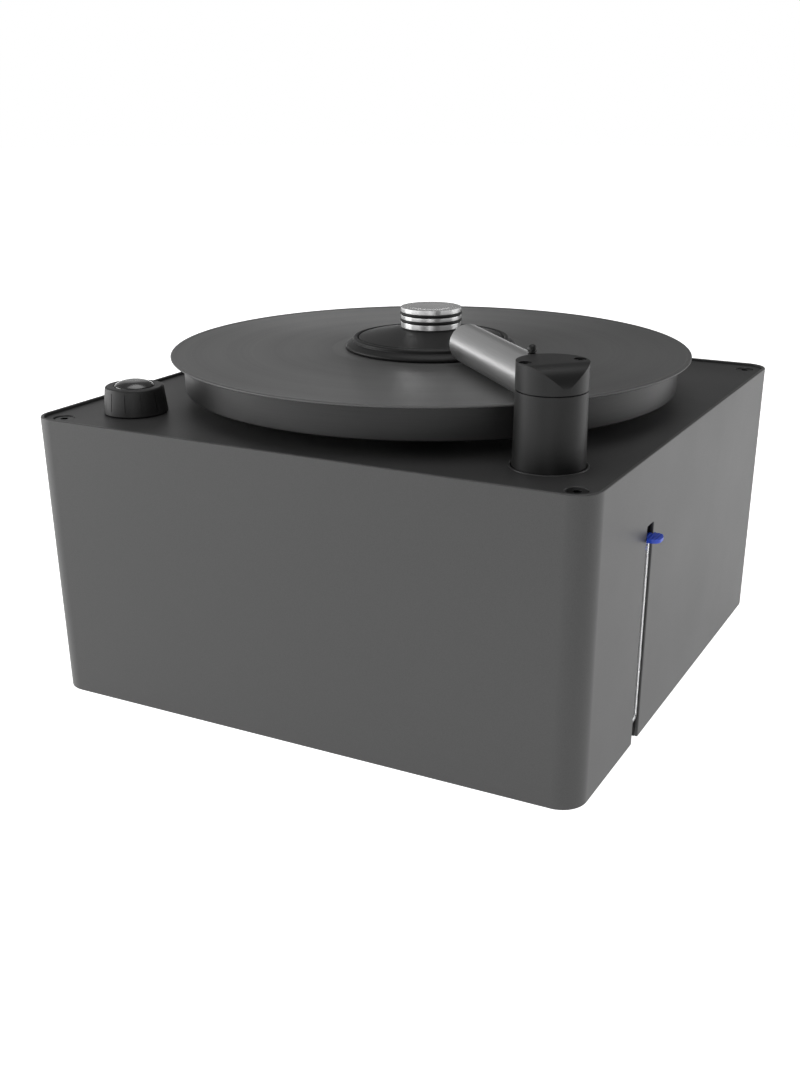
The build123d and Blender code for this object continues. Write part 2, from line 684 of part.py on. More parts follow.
# the outlet spigot points at the drain channel
spigot_end = channel_back + 3.2
tank += Pos((tank_x1 - 0.5 + spigot_end) / 2, hose_y, outlet_z) * Rot(0, 90, 0) \
    * Cylinder(hose_bore - 0.05, spigot_end - tank_x1 + 0.5)
tank -= Pos(tank_x1 + 3, hose_y, outlet_z) * Rot(0, 90, 0) * Cylinder(1.1, 22)
save(tank, "tank")

lid = block(tank_x0, tank_x1, tank_y0, tank_y1, tank_top, lid_top)
lid = fillet(lid.edges().filter_by(Axis.Z), tank_corner)
port_radius = 17.5
port_top = guide_floor - 3.5
lid += cyl(column_x, column_y, tank_top, port_top, port_radius)
lid -= cyl(column_x, column_y, tank_top - 1, port_top + 1, stem_radius + 0.4)
lid -= cyl(column_x, column_y, port_top - 3.6, port_top - 0.6, stem_radius + 3.4)
hose_port_x = 0.0
hose_port_y = (tank_y0 + tank_y1) / 2 - 2.5
spigot_height = 12.0
fan_hose_bore = 9.5
fan_hose_radius = 11.5
spigot_bore = 7.5
lid += cyl(hose_port_x, hose_port_y, tank_top, lid_top + spigot_height + 2, fan_hose_bore - 0.1)
lid -= cyl(hose_port_x, hose_port_y, tank_top - 1, lid_top + spigot_height + 3, spigot_bore)
save(lid, "tank_lid")
save(ring(column_x, column_y, port_top - 3.6, port_top - 0.6, stem_radius + 3.4, stem_radius + 0.05),
     "port_seal")

# the fan stays clear of the bracket's rounded corner and of its own exhaust gasket
bracket_reach = sqrt(2) * (bracket_size / 2 - bracket_corner) + bracket_corner
exhaust_end = inner_y - exhaust_length
fan_radius = min(hypot(motor_x, motor_y) - bracket_reach - fan_bracket_gap,
                 exhaust_end - motor_y - fan_exhaust_gap)
can_radius = fan_radius - 15.0
cushion_height = 5.5
cushion_top = floor_top + cushion_height
case_wall = 3.0
fan_shaft_radius = 4.0
fan_shaft_bottom = fan_low - 25.5
save(ring(motor_x, motor_y, floor_top, cushion_top, can_radius - 1, can_radius - 7), "motor_cushion")
fan_case = cyl(motor_x, motor_y, cushion_top, fan_low, can_radius)
fan_case += cyl(motor_x, motor_y, fan_low, fan_high, fan_radius)
fan_case += block(motor_x - exhaust_half, motor_x + exhaust_half, motor_y + can_radius - 1, exhaust_end,
                  exhaust_low, exhaust_high)
fan_case -= cyl(motor_x, motor_y, fan_low + case_wall, fan_high - case_wall, fan_radius - case_wall)
fan_case -= block(motor_x - exhaust_half + 2, motor_x + exhaust_half - 2, motor_y + can_radius + 1,
                  exhaust_end + 1, exhaust_low + 2, exhaust_high - 2)
fan_case += cyl(motor_x, motor_y, fan_high - 1, fan_high + spigot_height, fan_hose_bore - 0.1)
fan_case -= cyl(motor_x, motor_y, fan_high - case_wall - 1, fan_high + spigot_height + 1, spigot_bore)
fan_case -= cyl(motor_x, motor_y, fan_shaft_bottom - 0.5, fan_low + case_wall + 1,
                fan_shaft_radius + running_gap)
save(fan_case, "vacuum_motor")

impeller_low = fan_low + case_wall + 3.0
impeller = cyl(motor_x, motor_y, impeller_low, impeller_low + 2, fan_radius - 8)
impeller += cyl(motor_x, motor_y, fan_shaft_bottom, fan_high - 12, fan_shaft_radius)
impeller += cyl(motor_x, motor_y, impeller_low - 1.5, fan_high - 14, 9.0)
blade_long = fan_radius - 18
blade_high = 15.0
for i in range(9):
    blade = Pos(fan_radius / 2, 0, impeller_low + 1 + blade_high / 2) * Rot(0, 0, 24) \
        * Box(blade_long, 1.6, blade_high)
    impeller += Pos(motor_x, motor_y, 0) * Rot(0, 0, 40 * i) * blade
save(impeller, "vacuum_impeller")

gasket = block(motor_x - exhaust_half - 4, motor_x + exhaust_half + 4, exhaust_end, inner_y,
               exhaust_low - 3, exhaust_high + 3)
gasket -= block(motor_x - exhaust_half + 2, motor_x + exhaust_half - 2, exhaust_end - 1, inner_y + 1,
                exhaust_low + 2, exhaust_high - 2)
save(gasket, "exhaust_gasket")

# the hose leaves the tank lid, turns over the tank and drops onto the fan
hose_run_z = plate_bottom - hose_run_drop
hose_bend = 22.0
lid_hose_z = lid_top + 1.5
hose_line = rounded_path([
    (hose_port_x, hose_port_y, lid_hose_z), (hose_port_x, hose_port_y, hose_run_z),
    (motor_x + 16.0, tank_y1 + 4.0, hose_run_z),
    (motor_x, motor_y, hose_run_z), (motor_x, motor_y, fan_high + 1.5)], hose_bend)
hose_end = Plane(origin=(hose_port_x, hose_port_y, lid_hose_z), z_dir=(0, 0, 1))
fan_hose = sweep(hose_end * Circle(fan_hose_radius), path=hose_line)
fan_hose -= sweep(hose_end * Circle(fan_hose_bore), path=hose_line)
save(fan_hose, "suction_hose")

# ------------------------------------------------------------ drain hose
channel = block(channel_back, inner_x, slot_y - channel_half - channel_wall,
                slot_y + channel_half + channel_wall, body_bottom, channel_top + channel_wall)
channel -= block(channel_back + channel_wall, inner_x + 1, slot_y - channel_half, slot_y + channel_half,
                 body_bottom - 1, channel_top)
channel -= Pos(channel_back, hose_y, outlet_z) * Rot(0, 90, 0) * Cylinder(hose_radius + 0.2, 6)
save(channel, "hose_channel")

swing_z = outlet_z + hose_bend_radius
bend_path = rounded_path([(channel_back - 1.0, hose_y, outlet_z), (hose_x, hose_y, outlet_z),
                          (hose_x, hose_y, swing_z + 0.02)], hose_bend_radius)
bend_end = Plane(origin=(channel_back - 1.0, hose_y, outlet_z), z_dir=(1, 0, 0))
bend = sweep(bend_end * Circle(hose_radius), path=bend_path)
bend -= sweep(bend_end * Circle(hose_bore), path=bend_path)
save(bend, "hose_bend")

plug_low = plug_top - plug_thickness
hose_top = plug_low - 0.2
save(ring(hose_x, hose_y, swing_z + 0.05, hose_top, hose_radius, hose_bore), "level_hose")

# plug: a barbed stem in the hose under a ridged thumb tab that stands out of the slot
tab_tail = 3.5
tab_reach = 9.6
tab_neck_half = 4.2
tab_half = 5.8
neck_end = body_width / 2 + 0.4
tab_inner = block(hose_x - tab_tail, neck_end + 0.2, hose_y - tab_neck_half, hose_y + tab_neck_half,
                  plug_low, plug_top + 1)
tab_inner = fillet(tab_inner.edges().filter_by(Axis.Z).group_by(Axis.X)[0], tab_tail - 0.1)
tab_outer = block(neck_end, hose_x + tab_reach, hose_y - tab_half - 0.2, hose_y + tab_half - 0.2,
                  plug_low, plug_top + 1)
tab_outer = fillet(tab_outer.edges().filter_by(Axis.Z).group_by(Axis.X)[-1], tab_half - 1.4)
ridge_pitch = 2.0
ridge_height = 0.45
ridge_count = 4
ridge_start = hose_x + 0.9
side = [(hose_x - tab_tail - 1, plug_low - 1), (hose_x - tab_tail - 1, plug_top - ridge_height)]
for i in range(ridge_count * 6 + 1):
    lift = sqrt(abs(sin(pi * i / 6)))
    side.append((ridge_start + ridge_pitch * i / 6, plug_top - ridge_height * (1 - lift)))
side += [(hose_x + tab_reach + 1, plug_top - ridge_height), (hose_x + tab_reach + 1, plug_low - 1)]
ridged = make_face(Polyline(*side, close=True))
ridged = Plane(origin=(0, hose_y + 8, 0), x_dir=(1, 0, 0), z_dir=(0, -1, 0)) * ridged
plug = (tab_inner + tab_outer) & extrude(ridged, 16.0)
barb_pitch = 2.6
plug += cyl(hose_x, hose_y, plug_low - barb_pitch * 2.5, plug_low + 0.1, 1.3)
for z in (plug_low - barb_pitch + 0.2, plug_low - barb_pitch * 2 + 0.2):
    plug += turned([(0, z - 0.8), (1.4, z - 0.8), (hose_bore - 0.06, z + 0.2),
                    (hose_bore - 0.06, z + 0.5), (1.2, z + 0.5), (0, z + 0.5)], hose_x, hose_y)
save(plug, "drain_plug")

# ------------------------------------------------------------ controls
knob_low_z = plate_top + knob_gap
knob_high_z = knob_low_z + knob_height - knob_gap
cap_seat = knob_high_z - 3.0
control_knob = turned([
    (shaft_radius + 0.02, knob_low_z), (knob_base_radius - 0.3, knob_low_z),
    (knob_base_radius, knob_low_z + 0.3), (knob_top_radius + 0.25, knob_high_z - 0.9),
    (knob_top_radius - 0.1, knob_high_z - 0.3), (knob_top_radius - 0.7, knob_high_z),
    (cap_radius + 0.9, knob_high_z), (cap_radius + 0.15, knob_high_z - 0.2),
    (cap_radius + 0.15, cap_seat), (shaft_radius + 0.02, cap_seat)], knob_x, knob_y)
groove_radius = (knob_top_radius + knob_base_radius) / 2 + 0.15
knob_lean = -7.3
for i in range(knob_grooves):
    turn = 360.0 / knob_grooves * i + 19.5
    groove = Rot(0, 0, turn) * Pos(groove_radius, 0, knob_low_z + knob_height * 0.52) \
        * Rot(0, knob_lean, 0) * Box(0.9, 0.4, knob_height * 0.66)
    control_knob -= Pos(knob_x, knob_y, 0) * groove
save(control_knob, "control_knob")

cap_points = [(0, cap_seat), (cap_radius, cap_seat), (cap_radius, knob_high_z)]
for i in range(1, 9):
    a = radians(90 * i / 8)
    cap_points.append((cap_radius * cos(a), knob_high_z + cap_height * sin(a)))
save(turned(cap_points, knob_x, knob_y), "knob_cap")

switch_half = 18.0
switch_height = 22.0
switch_bottom = plate_bottom - switch_height
shaft_bottom = plate_bottom - 15.5
rotary_switch = block(knob_x - switch_half, knob_x + switch_half, knob_y - switch_half, knob_y + switch_half,
                      switch_bottom, plate_bottom)
rotary_switch = fillet(rotary_switch.edges().filter_by(Axis.Z), 3.0)
rotary_switch += cyl(knob_x, knob_y, plate_bottom - 1, plate_top - 0.4, switch_neck)
rotary_switch -= cyl(knob_x, knob_y, shaft_bottom - 0.5, plate_top + 1, shaft_radius + running_gap)
for i in range(3):
    rotary_switch += block(knob_x - 9 + 8 * i, knob_x - 7 + 8 * i, knob_y - 0.4, knob_y + 0.4,
                           switch_bottom - 8, switch_bottom + 1)
save(rotary_switch, "rotary_switch")
save(cyl(knob_x, knob_y, shaft_bottom, cap_seat - 0.1, shaft_radius), "switch_shaft")

# mains module on the back wall: socket below, fuse drawer and rocker above
back = inner_y + wall
module_depth = 30.0
flange_border = 3.0
flange_thickness = 2.5
module = block(inlet_x - inlet_half_x, inlet_x + inlet_half_x, back - module_depth, back,
               inlet_z - inlet_half_z, inlet_z + inlet_half_z)
flange = block(inlet_x - inlet_half_x - flange_border, inlet_x + inlet_half_x + flange_border,
               back, back + flange_thickness,
               inlet_z - inlet_half_z - flange_border, inlet_z + inlet_half_z + flange_border)
flange = fillet(flange.edges().filter_by(Axis.Y), 3.0)
module += flange
socket_z = inlet_z - 11.5
socket = block(inlet_x - 12.2, inlet_x + 12.2, back - 14.0, back + 3, socket_z - 8.1, socket_z + 8.1)
socket = chamfer(socket.edges().filter_by(Axis.Y).group_by(Axis.Z)[-1], 4.0)
module -= socket
fuse_z = inlet_z + 3.5
module -= block(inlet_x - 10.1, inlet_x + 10.1, back - 20, back + 3, fuse_z - 3.1, fuse_z + 3.1)
rocker_z = inlet_z + 15.5
module -= block(inlet_x - 10.3, inlet_x + 10.3, back - 14, back + 3, rocker_z - 6.3, rocker_z + 6.3)
save(module, "power_inlet")
pins = []
for dx, dz in ((-7.0, -2.0), (7.0, -2.0), (0.0, 2.0)):
    pins.append(block(inlet_x + dx - 1.0, inlet_x + dx + 1.0, back - 14.0, back - 3.5,
                      socket_z + dz - 2.0, socket_z + dz + 2.0))
save_set(pins, "inlet_pins")
drawer = block(inlet_x - 10.0, inlet_x + 10.0, back - 19, back + 2.6, fuse_z - 3.0, fuse_z + 3.0)
drawer -= block(inlet_x - 8.0, inlet_x + 8.0, back - 17.5, back - 2, fuse_z - 1.6, fuse_z + 4)
drawer += block(inlet_x - 6.0, inlet_x + 6.0, back + 2.5, back + 3.6, fuse_z - 1.0, fuse_z + 1.0)
save(drawer, "fuse_drawer")
# the rocker's two faces meet in a shallow V, tipped half its swing at rest
rocker_swing = 16.0
pivot_y = back - 1.0
rocker_side = make_face(Polyline((3.6, 5.2), (2.2, 0), (3.6, -5.2), (0.0, -5.2), (-5.0, -2.5),
                                 (-5.0, 2.5), (0.0, 5.2), close=True))
rocker_side = Plane(origin=(inlet_x - 10.0, pivot_y, rocker_z), x_dir=(0, 1, 0), z_dir=(1, 0, 0)) \
    * Rot(0, 0, -rocker_swing / 2) * rocker_side
save(extrude(rocker_side, 20.0), "mains_rocker")

# control board on short standoffs
board_x = inlet_x - 65.0
board_y = inner_y - 57.0
board_rise = 8.0
board_z = floor_top + board_rise
board_half_x = 45.0
board_half_y = 30.0
board_thickness = 1.6
board_top = board_z + board_thickness
standoff_inset = 5.0
standoff_radius = 3.0
standoff_pin = 1.5
supply_height = 22.5
relay_height = 15.5
smoother_radius = 8.0
board = block(board_x - board_half_x, board_x + board_half_x, board_y - board_half_y, board_y + board_half_y,
              board_z, board_top)
board_spots = [(board_x + x, board_y + y)
               for x, y in four(board_half_x - standoff_inset, board_half_y - standoff_inset)]
for x, y in board_spots:
    board -= cyl(x, y, board_z - 1, board_top + 1, standoff_pin + 0.1)
# a supply block, a relay and a smoothing can stand on the board
board += block(board_x - board_half_x * 0.75, board_x - board_half_x * 0.2, board_y - board_half_y * 0.5,
               board_y + board_half_y * 0.4, board_top - 0.1, board_top + supply_height)
board += block(board_x + board_half_x * 0.15, board_x + board_half_x * 0.6, board_y - board_half_y * 0.6,
               board_y - board_half_y * 0.2, board_top - 0.1, board_top + relay_height)
board += cyl(board_x + board_half_x * 0.3, board_y + board_half_y * 0.35, board_top - 0.1,
             board_top + supply_height, smoother_radius)
save(board, "control_board")
save_set([cyl(x, y, floor_top, board_z, standoff_radius)
          + cyl(x, y, board_z - 0.5, board_top + 1.4, standoff_pin)
          for x, y in board_spots], "board_standoffs")
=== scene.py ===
import json
from math import atan2, cos, pi, radians, sin

import bmesh
import bpy
from mathutils import Matrix, Vector


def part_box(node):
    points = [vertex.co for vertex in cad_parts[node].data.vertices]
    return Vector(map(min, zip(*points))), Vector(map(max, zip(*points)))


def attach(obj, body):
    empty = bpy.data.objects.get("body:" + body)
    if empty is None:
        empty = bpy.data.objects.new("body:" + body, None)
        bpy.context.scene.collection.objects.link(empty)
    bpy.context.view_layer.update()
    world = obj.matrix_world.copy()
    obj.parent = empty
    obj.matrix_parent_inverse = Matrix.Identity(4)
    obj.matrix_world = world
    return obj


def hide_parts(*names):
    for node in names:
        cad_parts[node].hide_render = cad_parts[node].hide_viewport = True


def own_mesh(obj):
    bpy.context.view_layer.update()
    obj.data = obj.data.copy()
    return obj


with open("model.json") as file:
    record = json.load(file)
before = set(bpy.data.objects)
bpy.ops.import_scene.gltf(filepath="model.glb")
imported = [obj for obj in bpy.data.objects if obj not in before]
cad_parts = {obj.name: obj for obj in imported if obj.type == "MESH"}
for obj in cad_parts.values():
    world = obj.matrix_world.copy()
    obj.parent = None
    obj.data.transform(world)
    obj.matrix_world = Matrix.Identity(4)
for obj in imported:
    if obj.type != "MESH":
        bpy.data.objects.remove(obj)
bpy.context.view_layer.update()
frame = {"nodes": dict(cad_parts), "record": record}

scene = bpy.context.scene
mm = 0.001
print("frame loaded")


# small tools for making and finishing pieces, all sizes in millimetres
def spanOf(node):
    low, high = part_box(node)
    return low / mm, high / mm


def middleOf(node):
    low, high = spanOf(node)
    return (low.x + high.x) / 2, (low.y + high.y) / 2, (low.z + high.z) / 2


def moved(bm, x=0, y=0, z=0, verts=None):
    bmesh.ops.translate(bm, vec=(x, y, z), verts=verts or bm.verts)
    return bm


def turned(bm, axis, angle, verts=None, about=(0, 0, 0)):
    bmesh.ops.rotate(bm, cent=about, matrix=Matrix.Rotation(angle, 3, axis), verts=verts or bm.verts)
    return bm


def sized(bm, x, y, z, verts=None):
    bmesh.ops.scale(bm, vec=(x, y, z), verts=verts or bm.verts)
    return bm


def setAll(thing, settings):
    for name, value in settings.items():
        setattr(thing, name, value)


def addObject(name, data):
    thing = bpy.data.objects.new(name, data)
    scene.collection.objects.link(thing)
    return thing


def addMesh(name, bm):
    mesh = bpy.data.meshes.new(name)
    bm.to_mesh(mesh)
    bm.free()
    return addObject(name, mesh)


def asObject(name, bm):
    bmesh.ops.remove_doubles(bm, verts=bm.verts, dist=0.0005)
    bmesh.ops.recalc_face_normals(bm, faces=bm.faces)
    return addMesh(name, sized(bm, mm, mm, mm))


def reopened(piece):
    # the piece's mesh back in millimetres, the piece itself is used up
    bm = bmesh.new()
    bm.from_mesh(piece.data)
    bpy.data.objects.remove(piece)
    return sized(bm, 1 / mm, 1 / mm, 1 / mm)


def applyModifiers(piece):
    bpy.context.view_layer.update()
    graph = bpy.context.evaluated_depsgraph_get()
    done = bpy.data.meshes.new_from_object(piece.evaluated_get(graph))
    old = piece.data
    piece.modifiers.clear()
    piece.data = done
    done.name = piece.name
    bpy.data.meshes.remove(old)


def addModifier(piece, kind, **settings):
    setAll(piece.modifiers.new(kind.lower(), kind), settings)


def cutWith(piece, *tools, operation="DIFFERENCE"):
    # a tool is a shape in millimetres or a finished object
    tools = [tool if isinstance(tool, bpy.types.Object) else asObject("tool", tool) for tool in tools]
    for tool in tools:
        addModifier(piece, "BOOLEAN", object=tool, operation=operation, solver="EXACT")
    applyModifiers(piece)
    for tool in tools:
        bpy.data.objects.remove(tool)


def softenEdges(piece, width, segments=3, limit=30):
    addModifier(piece, "BEVEL", width=width * mm, segments=segments, limit_method="ANGLE",
                angle_limit=radians(limit), use_clamp_overlap=True, miter_outer="MITER_ARC")
    applyModifiers(piece)


def shadeSmooth(piece, sharp):
    piece.data.polygons.foreach_set("use_smooth", [True] * len(piece.data.polygons))
    piece.data.set_sharp_from_angle(angle=radians(sharp))


def ridePiece(piece, slot, body, stands, sharp=40, finish=None):
    piece.data.materials.clear()
    piece.data.materials.append(finishes[finish or slot])
    if sharp:
        shadeSmooth(piece, sharp)
    addModifier(piece, "WEIGHTED_NORMAL", keep_sharp=True)
    applyModifiers(piece)
    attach(piece, body)
    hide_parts(*stands)


def spinRound(bm, geom, steps):
    bmesh.ops.spin(bm, geom=geom, cent=(0, 0, 0), axis=(0, 0, 1), angle=2 * pi, steps=steps,
                   use_merge=True, use_duplicate=False)


def rounded(bm, geom, offset, segments=3, affect="VERTICES", clamp=False):
    bmesh.ops.bevel(bm, geom=geom, offset=offset, offset_type="OFFSET", segments=segments, profile=0.5,
                    affect=affect, clamp_overlap=clamp, material=-1)


def latheShape(profile, steps=96, rounding=0, segments=3, keepSharp=()):
    bm = bmesh.new()
    points = [bm.verts.new((r, 0, z)) for r, z in profile]
    for pair in zip(points, points[1:]):
        bm.edges.new(pair)
    corners = [v for i, v in enumerate(points[1:-1], 1) if i not in keepSharp]
    if rounding and corners:
        rounded(bm, corners, rounding, segments, clamp=True)
    spinRound(bm, bm.verts[:] + bm.edges[:], steps)
    bmesh.ops.remove_doubles(bm, verts=bm.verts, dist=0.0005)
    return bm


def closedLathe(profile, steps=96, rounding=0, segments=3):
    # a ring section that doesn't reach the axis, so its last point joins the first
    start = ((profile[0][0] + profile[-1][0]) / 2, (profile[0][1] + profile[-1][1]) / 2)
    return latheShape([start] + profile + [start], steps, rounding, segments)


def shifted(points, x, z):
    return [(x + out, z + up) for out, up in points]


def bandSection(inner, outer, low, high):
    return [(inner, low), (outer, low), (outer, high), (inner, high)]


def rodShape(x, y, low, high, radius, steps=48):
    return moved(latheShape(bandSection(0, radius, low, high), steps), x, y)


def addBox(bm, width, depth, height):
    fresh = bmesh.ops.create_cube(bm, size=1)["verts"]
    sized(bm, width, depth, height, fresh)
    return fresh


def roundPiece(name, profile, sizes, x=0, y=0, segments=3):
    # a section that starts on the axis stays open there
    shape = closedLathe if profile[0][0] else latheShape
    return asObject(name, moved(shape(profile, sizes["steps"], sizes.get("edge", 0), segments), x, y))


def boxShape(x, y, z, width, depth, height):
    bm = bmesh.new()
    addBox(bm, width, depth, height)
    return moved(bm, x, y, z)


def vertsIn(result):
    return [v for v in result["geom"] if isinstance(v, bmesh.types.BMVert)]


def pushOut(bm, x=0, y=0, z=0):
    # thickens a flat face into a closed block
    moved(bm, x, y, z, vertsIn(bmesh.ops.extrude_face_region(bm, geom=bm.faces[:])))
    return bm


def slabShape(width, depth, low, high, radius, steps=16):
    bm = bmesh.new()
    bmesh.ops.create_grid(bm, x_segments=1, y_segments=1, size=0.5)
    sized(bm, width, depth, 1)
    rounded(bm, bm.verts[:], radius, steps)
    return moved(pushOut(bm, z=high - low), z=low)


def extrudedOutline(points, length, rounding=0):
    # an outline in the X-Z plane pushed along +Y
    bm = bmesh.new()
    face = bm.faces.new([bm.verts.new((x, 0, z)) for x, z in points])
    if rounding:
        rounded(bm, face.verts[:], rounding)
    return pushOut(bm, y=length)


def joinedAt(bm, spots):
    # copies of one shape at several places, the first shape is used up
    firstX, firstY = spots[0]
    source = bm.verts[:] + bm.edges[:] + bm.faces[:]
    for x, y in spots[1:]:
        copy = bmesh.ops.duplicate(bm, geom=source)
        moved(bm, x - firstX, y - firstY, 0, vertsIn(copy))
    return moved(bm, firstX, firstY)


def square(at):
    return [(at, at), (-at, at), (-at, -at), (at, -at)]


# small tools for materials, where a single number is a grey
def asColour(shade):
    return shade if isinstance(shade, tuple) else (shade, shade, shade)


def shaderOf(finish):
    return finish.node_tree.nodes["Principled BSDF"]


def newFinish(name, colour, roughness, shine=0.5, **settings):
    finish = bpy.data.materials.new(name)
    finish.use_nodes = True
    shader, colour = shaderOf(finish), asColour(colour)
    shader.inputs["Base Color"].default_value = (*colour, 1)
    shader.inputs["Roughness"].default_value = roughness
    shader.inputs["Specular IOR Level"].default_value = shine
    for socket, value in settings.items():
        shader.inputs[socket.replace("_", " ")].default_value = value
    finish.diffuse_color = (*colour, 1)
    return finish


def addNode(owner, kind, inputs=(), **settings):
    # each input is a constant or the output of another node
    node = owner.node_tree.nodes.new("ShaderNode" + kind)
    setAll(node, settings)
    for socket, value in dict(inputs).items():
        if isinstance(value, bpy.types.NodeSocket):
            owner.node_tree.links.new(value, node.inputs[socket])
        else:
            node.inputs[socket].default_value = value
    return node.outputs


def feed(finish, socket, output):
    finish.node_tree.links.new(output, shaderOf(finish).inputs[socket])


def objectPlace(finish, scale=(1, 1, 1)):
    where = addNode(finish, "TexCoord")["Object"]
    return addNode(finish, "Mapping", {"Vector": where, "Scale": scale})["Vector"]


def noiseFor(finish, place, scale, detail=3, roughness=0.55):
    return addNode(finish, "TexNoise", {"Vector": place, "Scale": scale, "Detail": detail,
                                        "Roughness": roughness})["Fac"]


def ringsFor(finish, place, pitch, distortion):
    # one ring for each pitch in millimetres, about the upright axis
    inputs = {"Vector": place, "Scale": pi / 10 / (pitch * mm), "Detail": 2, "Distortion": distortion}
    return addNode(finish, "TexWave", inputs, wave_type="RINGS", rings_direction="Z")["Fac"]


def spread(finish, factor, low, high, fromLow=0, fromHigh=1):
    return addNode(finish, "MapRange", {"Value": factor, "From Min": fromLow, "From Max": fromHigh,
                                        "To Min": low, "To Max": high})["Result"]


def combined(finish, first, second, operation="MULTIPLY"):
    return addNode(finish, "Math", {0: first, 1: second}, operation=operation)[0]


def colourFrom(finish, factor, dark, light):
    blend = addNode(finish, "Mix", {"Factor": factor, "A": (*asColour(dark), 1), "B": (*asColour(light), 1)},
                    data_type="RGBA")
    feed(finish, "Base Color", blend["Result"])


def roughnessFrom(finish, factor, low, high):
    feed(finish, "Roughness", spread(finish, factor, low, high))


def bumpFrom(finish, heights, depth):
    # heights is a list of (factor, share), added up and read in millimetres
    parts = [spread(finish, factor, 0, share) for factor, share in heights]
    total = parts[0]
    for part in parts[1:]:
        total = combined(finish, total, part, "ADD")
    bump = addNode(finish, "Bump", {"Distance": depth * mm, "Strength": 1, "Height": total})
    feed(finish, "Normal", bump["Normal"])


def startFinish(name, dark, light, roughness, **settings):
    middle = tuple((a + b) / 2 for a, b in zip(asColour(dark), asColour(light)))
    finish = newFinish(name, middle, roughness, **settings)
    return finish, objectPlace(finish)


# fine even grain, as on blasted and anodised or painted sheet
def grained(name, dark, light, roughness, grain=0.25, depth=0.02, metallic=0, **settings):
    finish, place = startFinish(name, dark, light, roughness, Metallic=metallic, **settings)
    fine = noiseFor(finish, place, 1 / (grain * mm), 2)
    broad = noiseFor(finish, place, 14, 3)
    colourFrom(finish, spread(finish, fine, 0, 1, 0.3, 0.7), dark, light)
    roughnessFrom(finish, broad, roughness - 0.04, roughness + 0.05)
    bumpFrom(finish, [(fine, 1), (broad, 0.6)], depth)
    return finish


# lathe marks in rings, with fine streaks and faint smudges
def lathed(name, dark, light, roughness, pitch, depth, metallic=1, **settings):
    finish, place = startFinish(name, dark, light, roughness, Metallic=metallic, **settings)
    marks = ringsFor(finish, place, pitch, 0.6)
    streaks = noiseFor(finish, objectPlace(finish, (30, 30, 2600)), 1, 2)
    smudge = noiseFor(finish, place, 55, 3)
    colourFrom(finish, spread(finish, streaks, 0, 1, 0.25, 0.75), dark, light)
    roughnessFrom(finish, smudge, roughness - 0.04, roughness + 0.04)
    bumpFrom(finish, [(marks, 1), (streaks, 0.4)], depth)
    return finish


# moulded plastic and rubber with a soft spark-eroded texture
def moulded(name, dark, light, roughness, grain=0.35, depth=0.015, vary=1, **settings):
    finish, place = startFinish(name, dark, light, roughness, **settings)
    pits = noiseFor(finish, place, 1 / (grain * mm), 4, 0.65)
    cloud = noiseFor(finish, place, 38, 2)
    colourFrom(finish, cloud, dark, light)
    roughnessFrom(finish, pits, roughness - 0.05 * vary, roughness + 0.06 * vary)
    bumpFrom(finish, [(pits, 1)], depth)
    return finish


# a pattern coordinate that changes with the distance from the axis only
def radiusOf(finish, place, perMetre):
    flat = addNode(finish, "VectorMath", {0: place, 1: (1, 1, 0)}, operation="MULTIPLY")["Vector"]
    length = addNode(finish, "VectorMath", {0: flat}, operation="LENGTH")["Value"]
    return addNode(finish, "CombineXYZ", {"X": combined(finish, length, perMetre)})["Vector"]


# the pressed disc: play grooves between track bands, with a little dust
vinyl = {"colour": 0.095, "dark": 0.082, "light": 0.12, "roughness": 0.34, "anisotropy": 0.85, "shine": 0.5,
         "pitch": 0.55, "bandScale": 520, "trackShare": 0.12, "dustScale": 900, "depth": 0.006}


def vinylFinish(name):
    finish = newFinish(name, vinyl["colour"], vinyl["roughness"], Anisotropic=vinyl["anisotropy"],
                       shine=vinyl["shine"])
    place = objectPlace(finish)
    fine = ringsFor(finish, place, vinyl["pitch"], 0.15)
    bands = noiseFor(finish, radiusOf(finish, place, vinyl["bandScale"]), 1, 4, 0.6)
    tracks = noiseFor(finish, radiusOf(finish, place, vinyl["bandScale"] * vinyl["trackShare"]), 1, 1)
    dust = noiseFor(finish, place, vinyl["dustScale"], 2)
    colourFrom(finish, spread(finish, bands, 0, 1, 0.3, 0.7), vinyl["dark"], vinyl["light"])
    both = combined(finish, spread(finish, bands, 0.7, 1.3), spread(finish, tracks, 0.85, 1.15))
    feed(finish, "Roughness", combined(finish, both, vinyl["roughness"]))
    bumpFrom(finish, [(fine, 1), (bands, 2.5), (dust, 0.3)], vinyl["depth"])
    tangent = addNode(finish, "Tangent", direction_type="RADIAL", axis="Z")
    feed(finish, "Tangent", tangent["Tangent"])
    return finish


def clearTubeFinish(name):
    finish = newFinish(name, (0.96, 0.97, 0.98), 0.06, Transmission_Weight=0.9, IOR=1.28)
    haze = noiseFor(finish, objectPlace(finish, (1, 1, 0.15)), 160, 2)
    colourFrom(finish, haze, (0.93, 0.94, 0.95), (0.97, 0.98, 0.98))
    roughnessFrom(finish, haze, 0.04, 0.08)
    bumpFrom(finish, [(haze, 1)], 0.001)
    return finish


# the camera stands low at the front right corner
view = {"place": (0.343212, -0.680792, 0.3379), "down": 0.4209, "turn": 0.4743,
        "lens": {"lens": 43.02, "sensor_width": 36, "shift_x": -0.0199, "shift_y": 0.1094,
                 "clip_start": 0.02}}


def setCamera():
    lens = bpy.data.cameras.new("camera")
    setAll(lens, view["lens"])
    camera = addObject("camera", lens)
    camera.location = view["place"]
    camera.rotation_euler = (pi / 2 - view["down"], 0, view["turn"])
    scene.camera = camera


setCamera()
print("camera set")

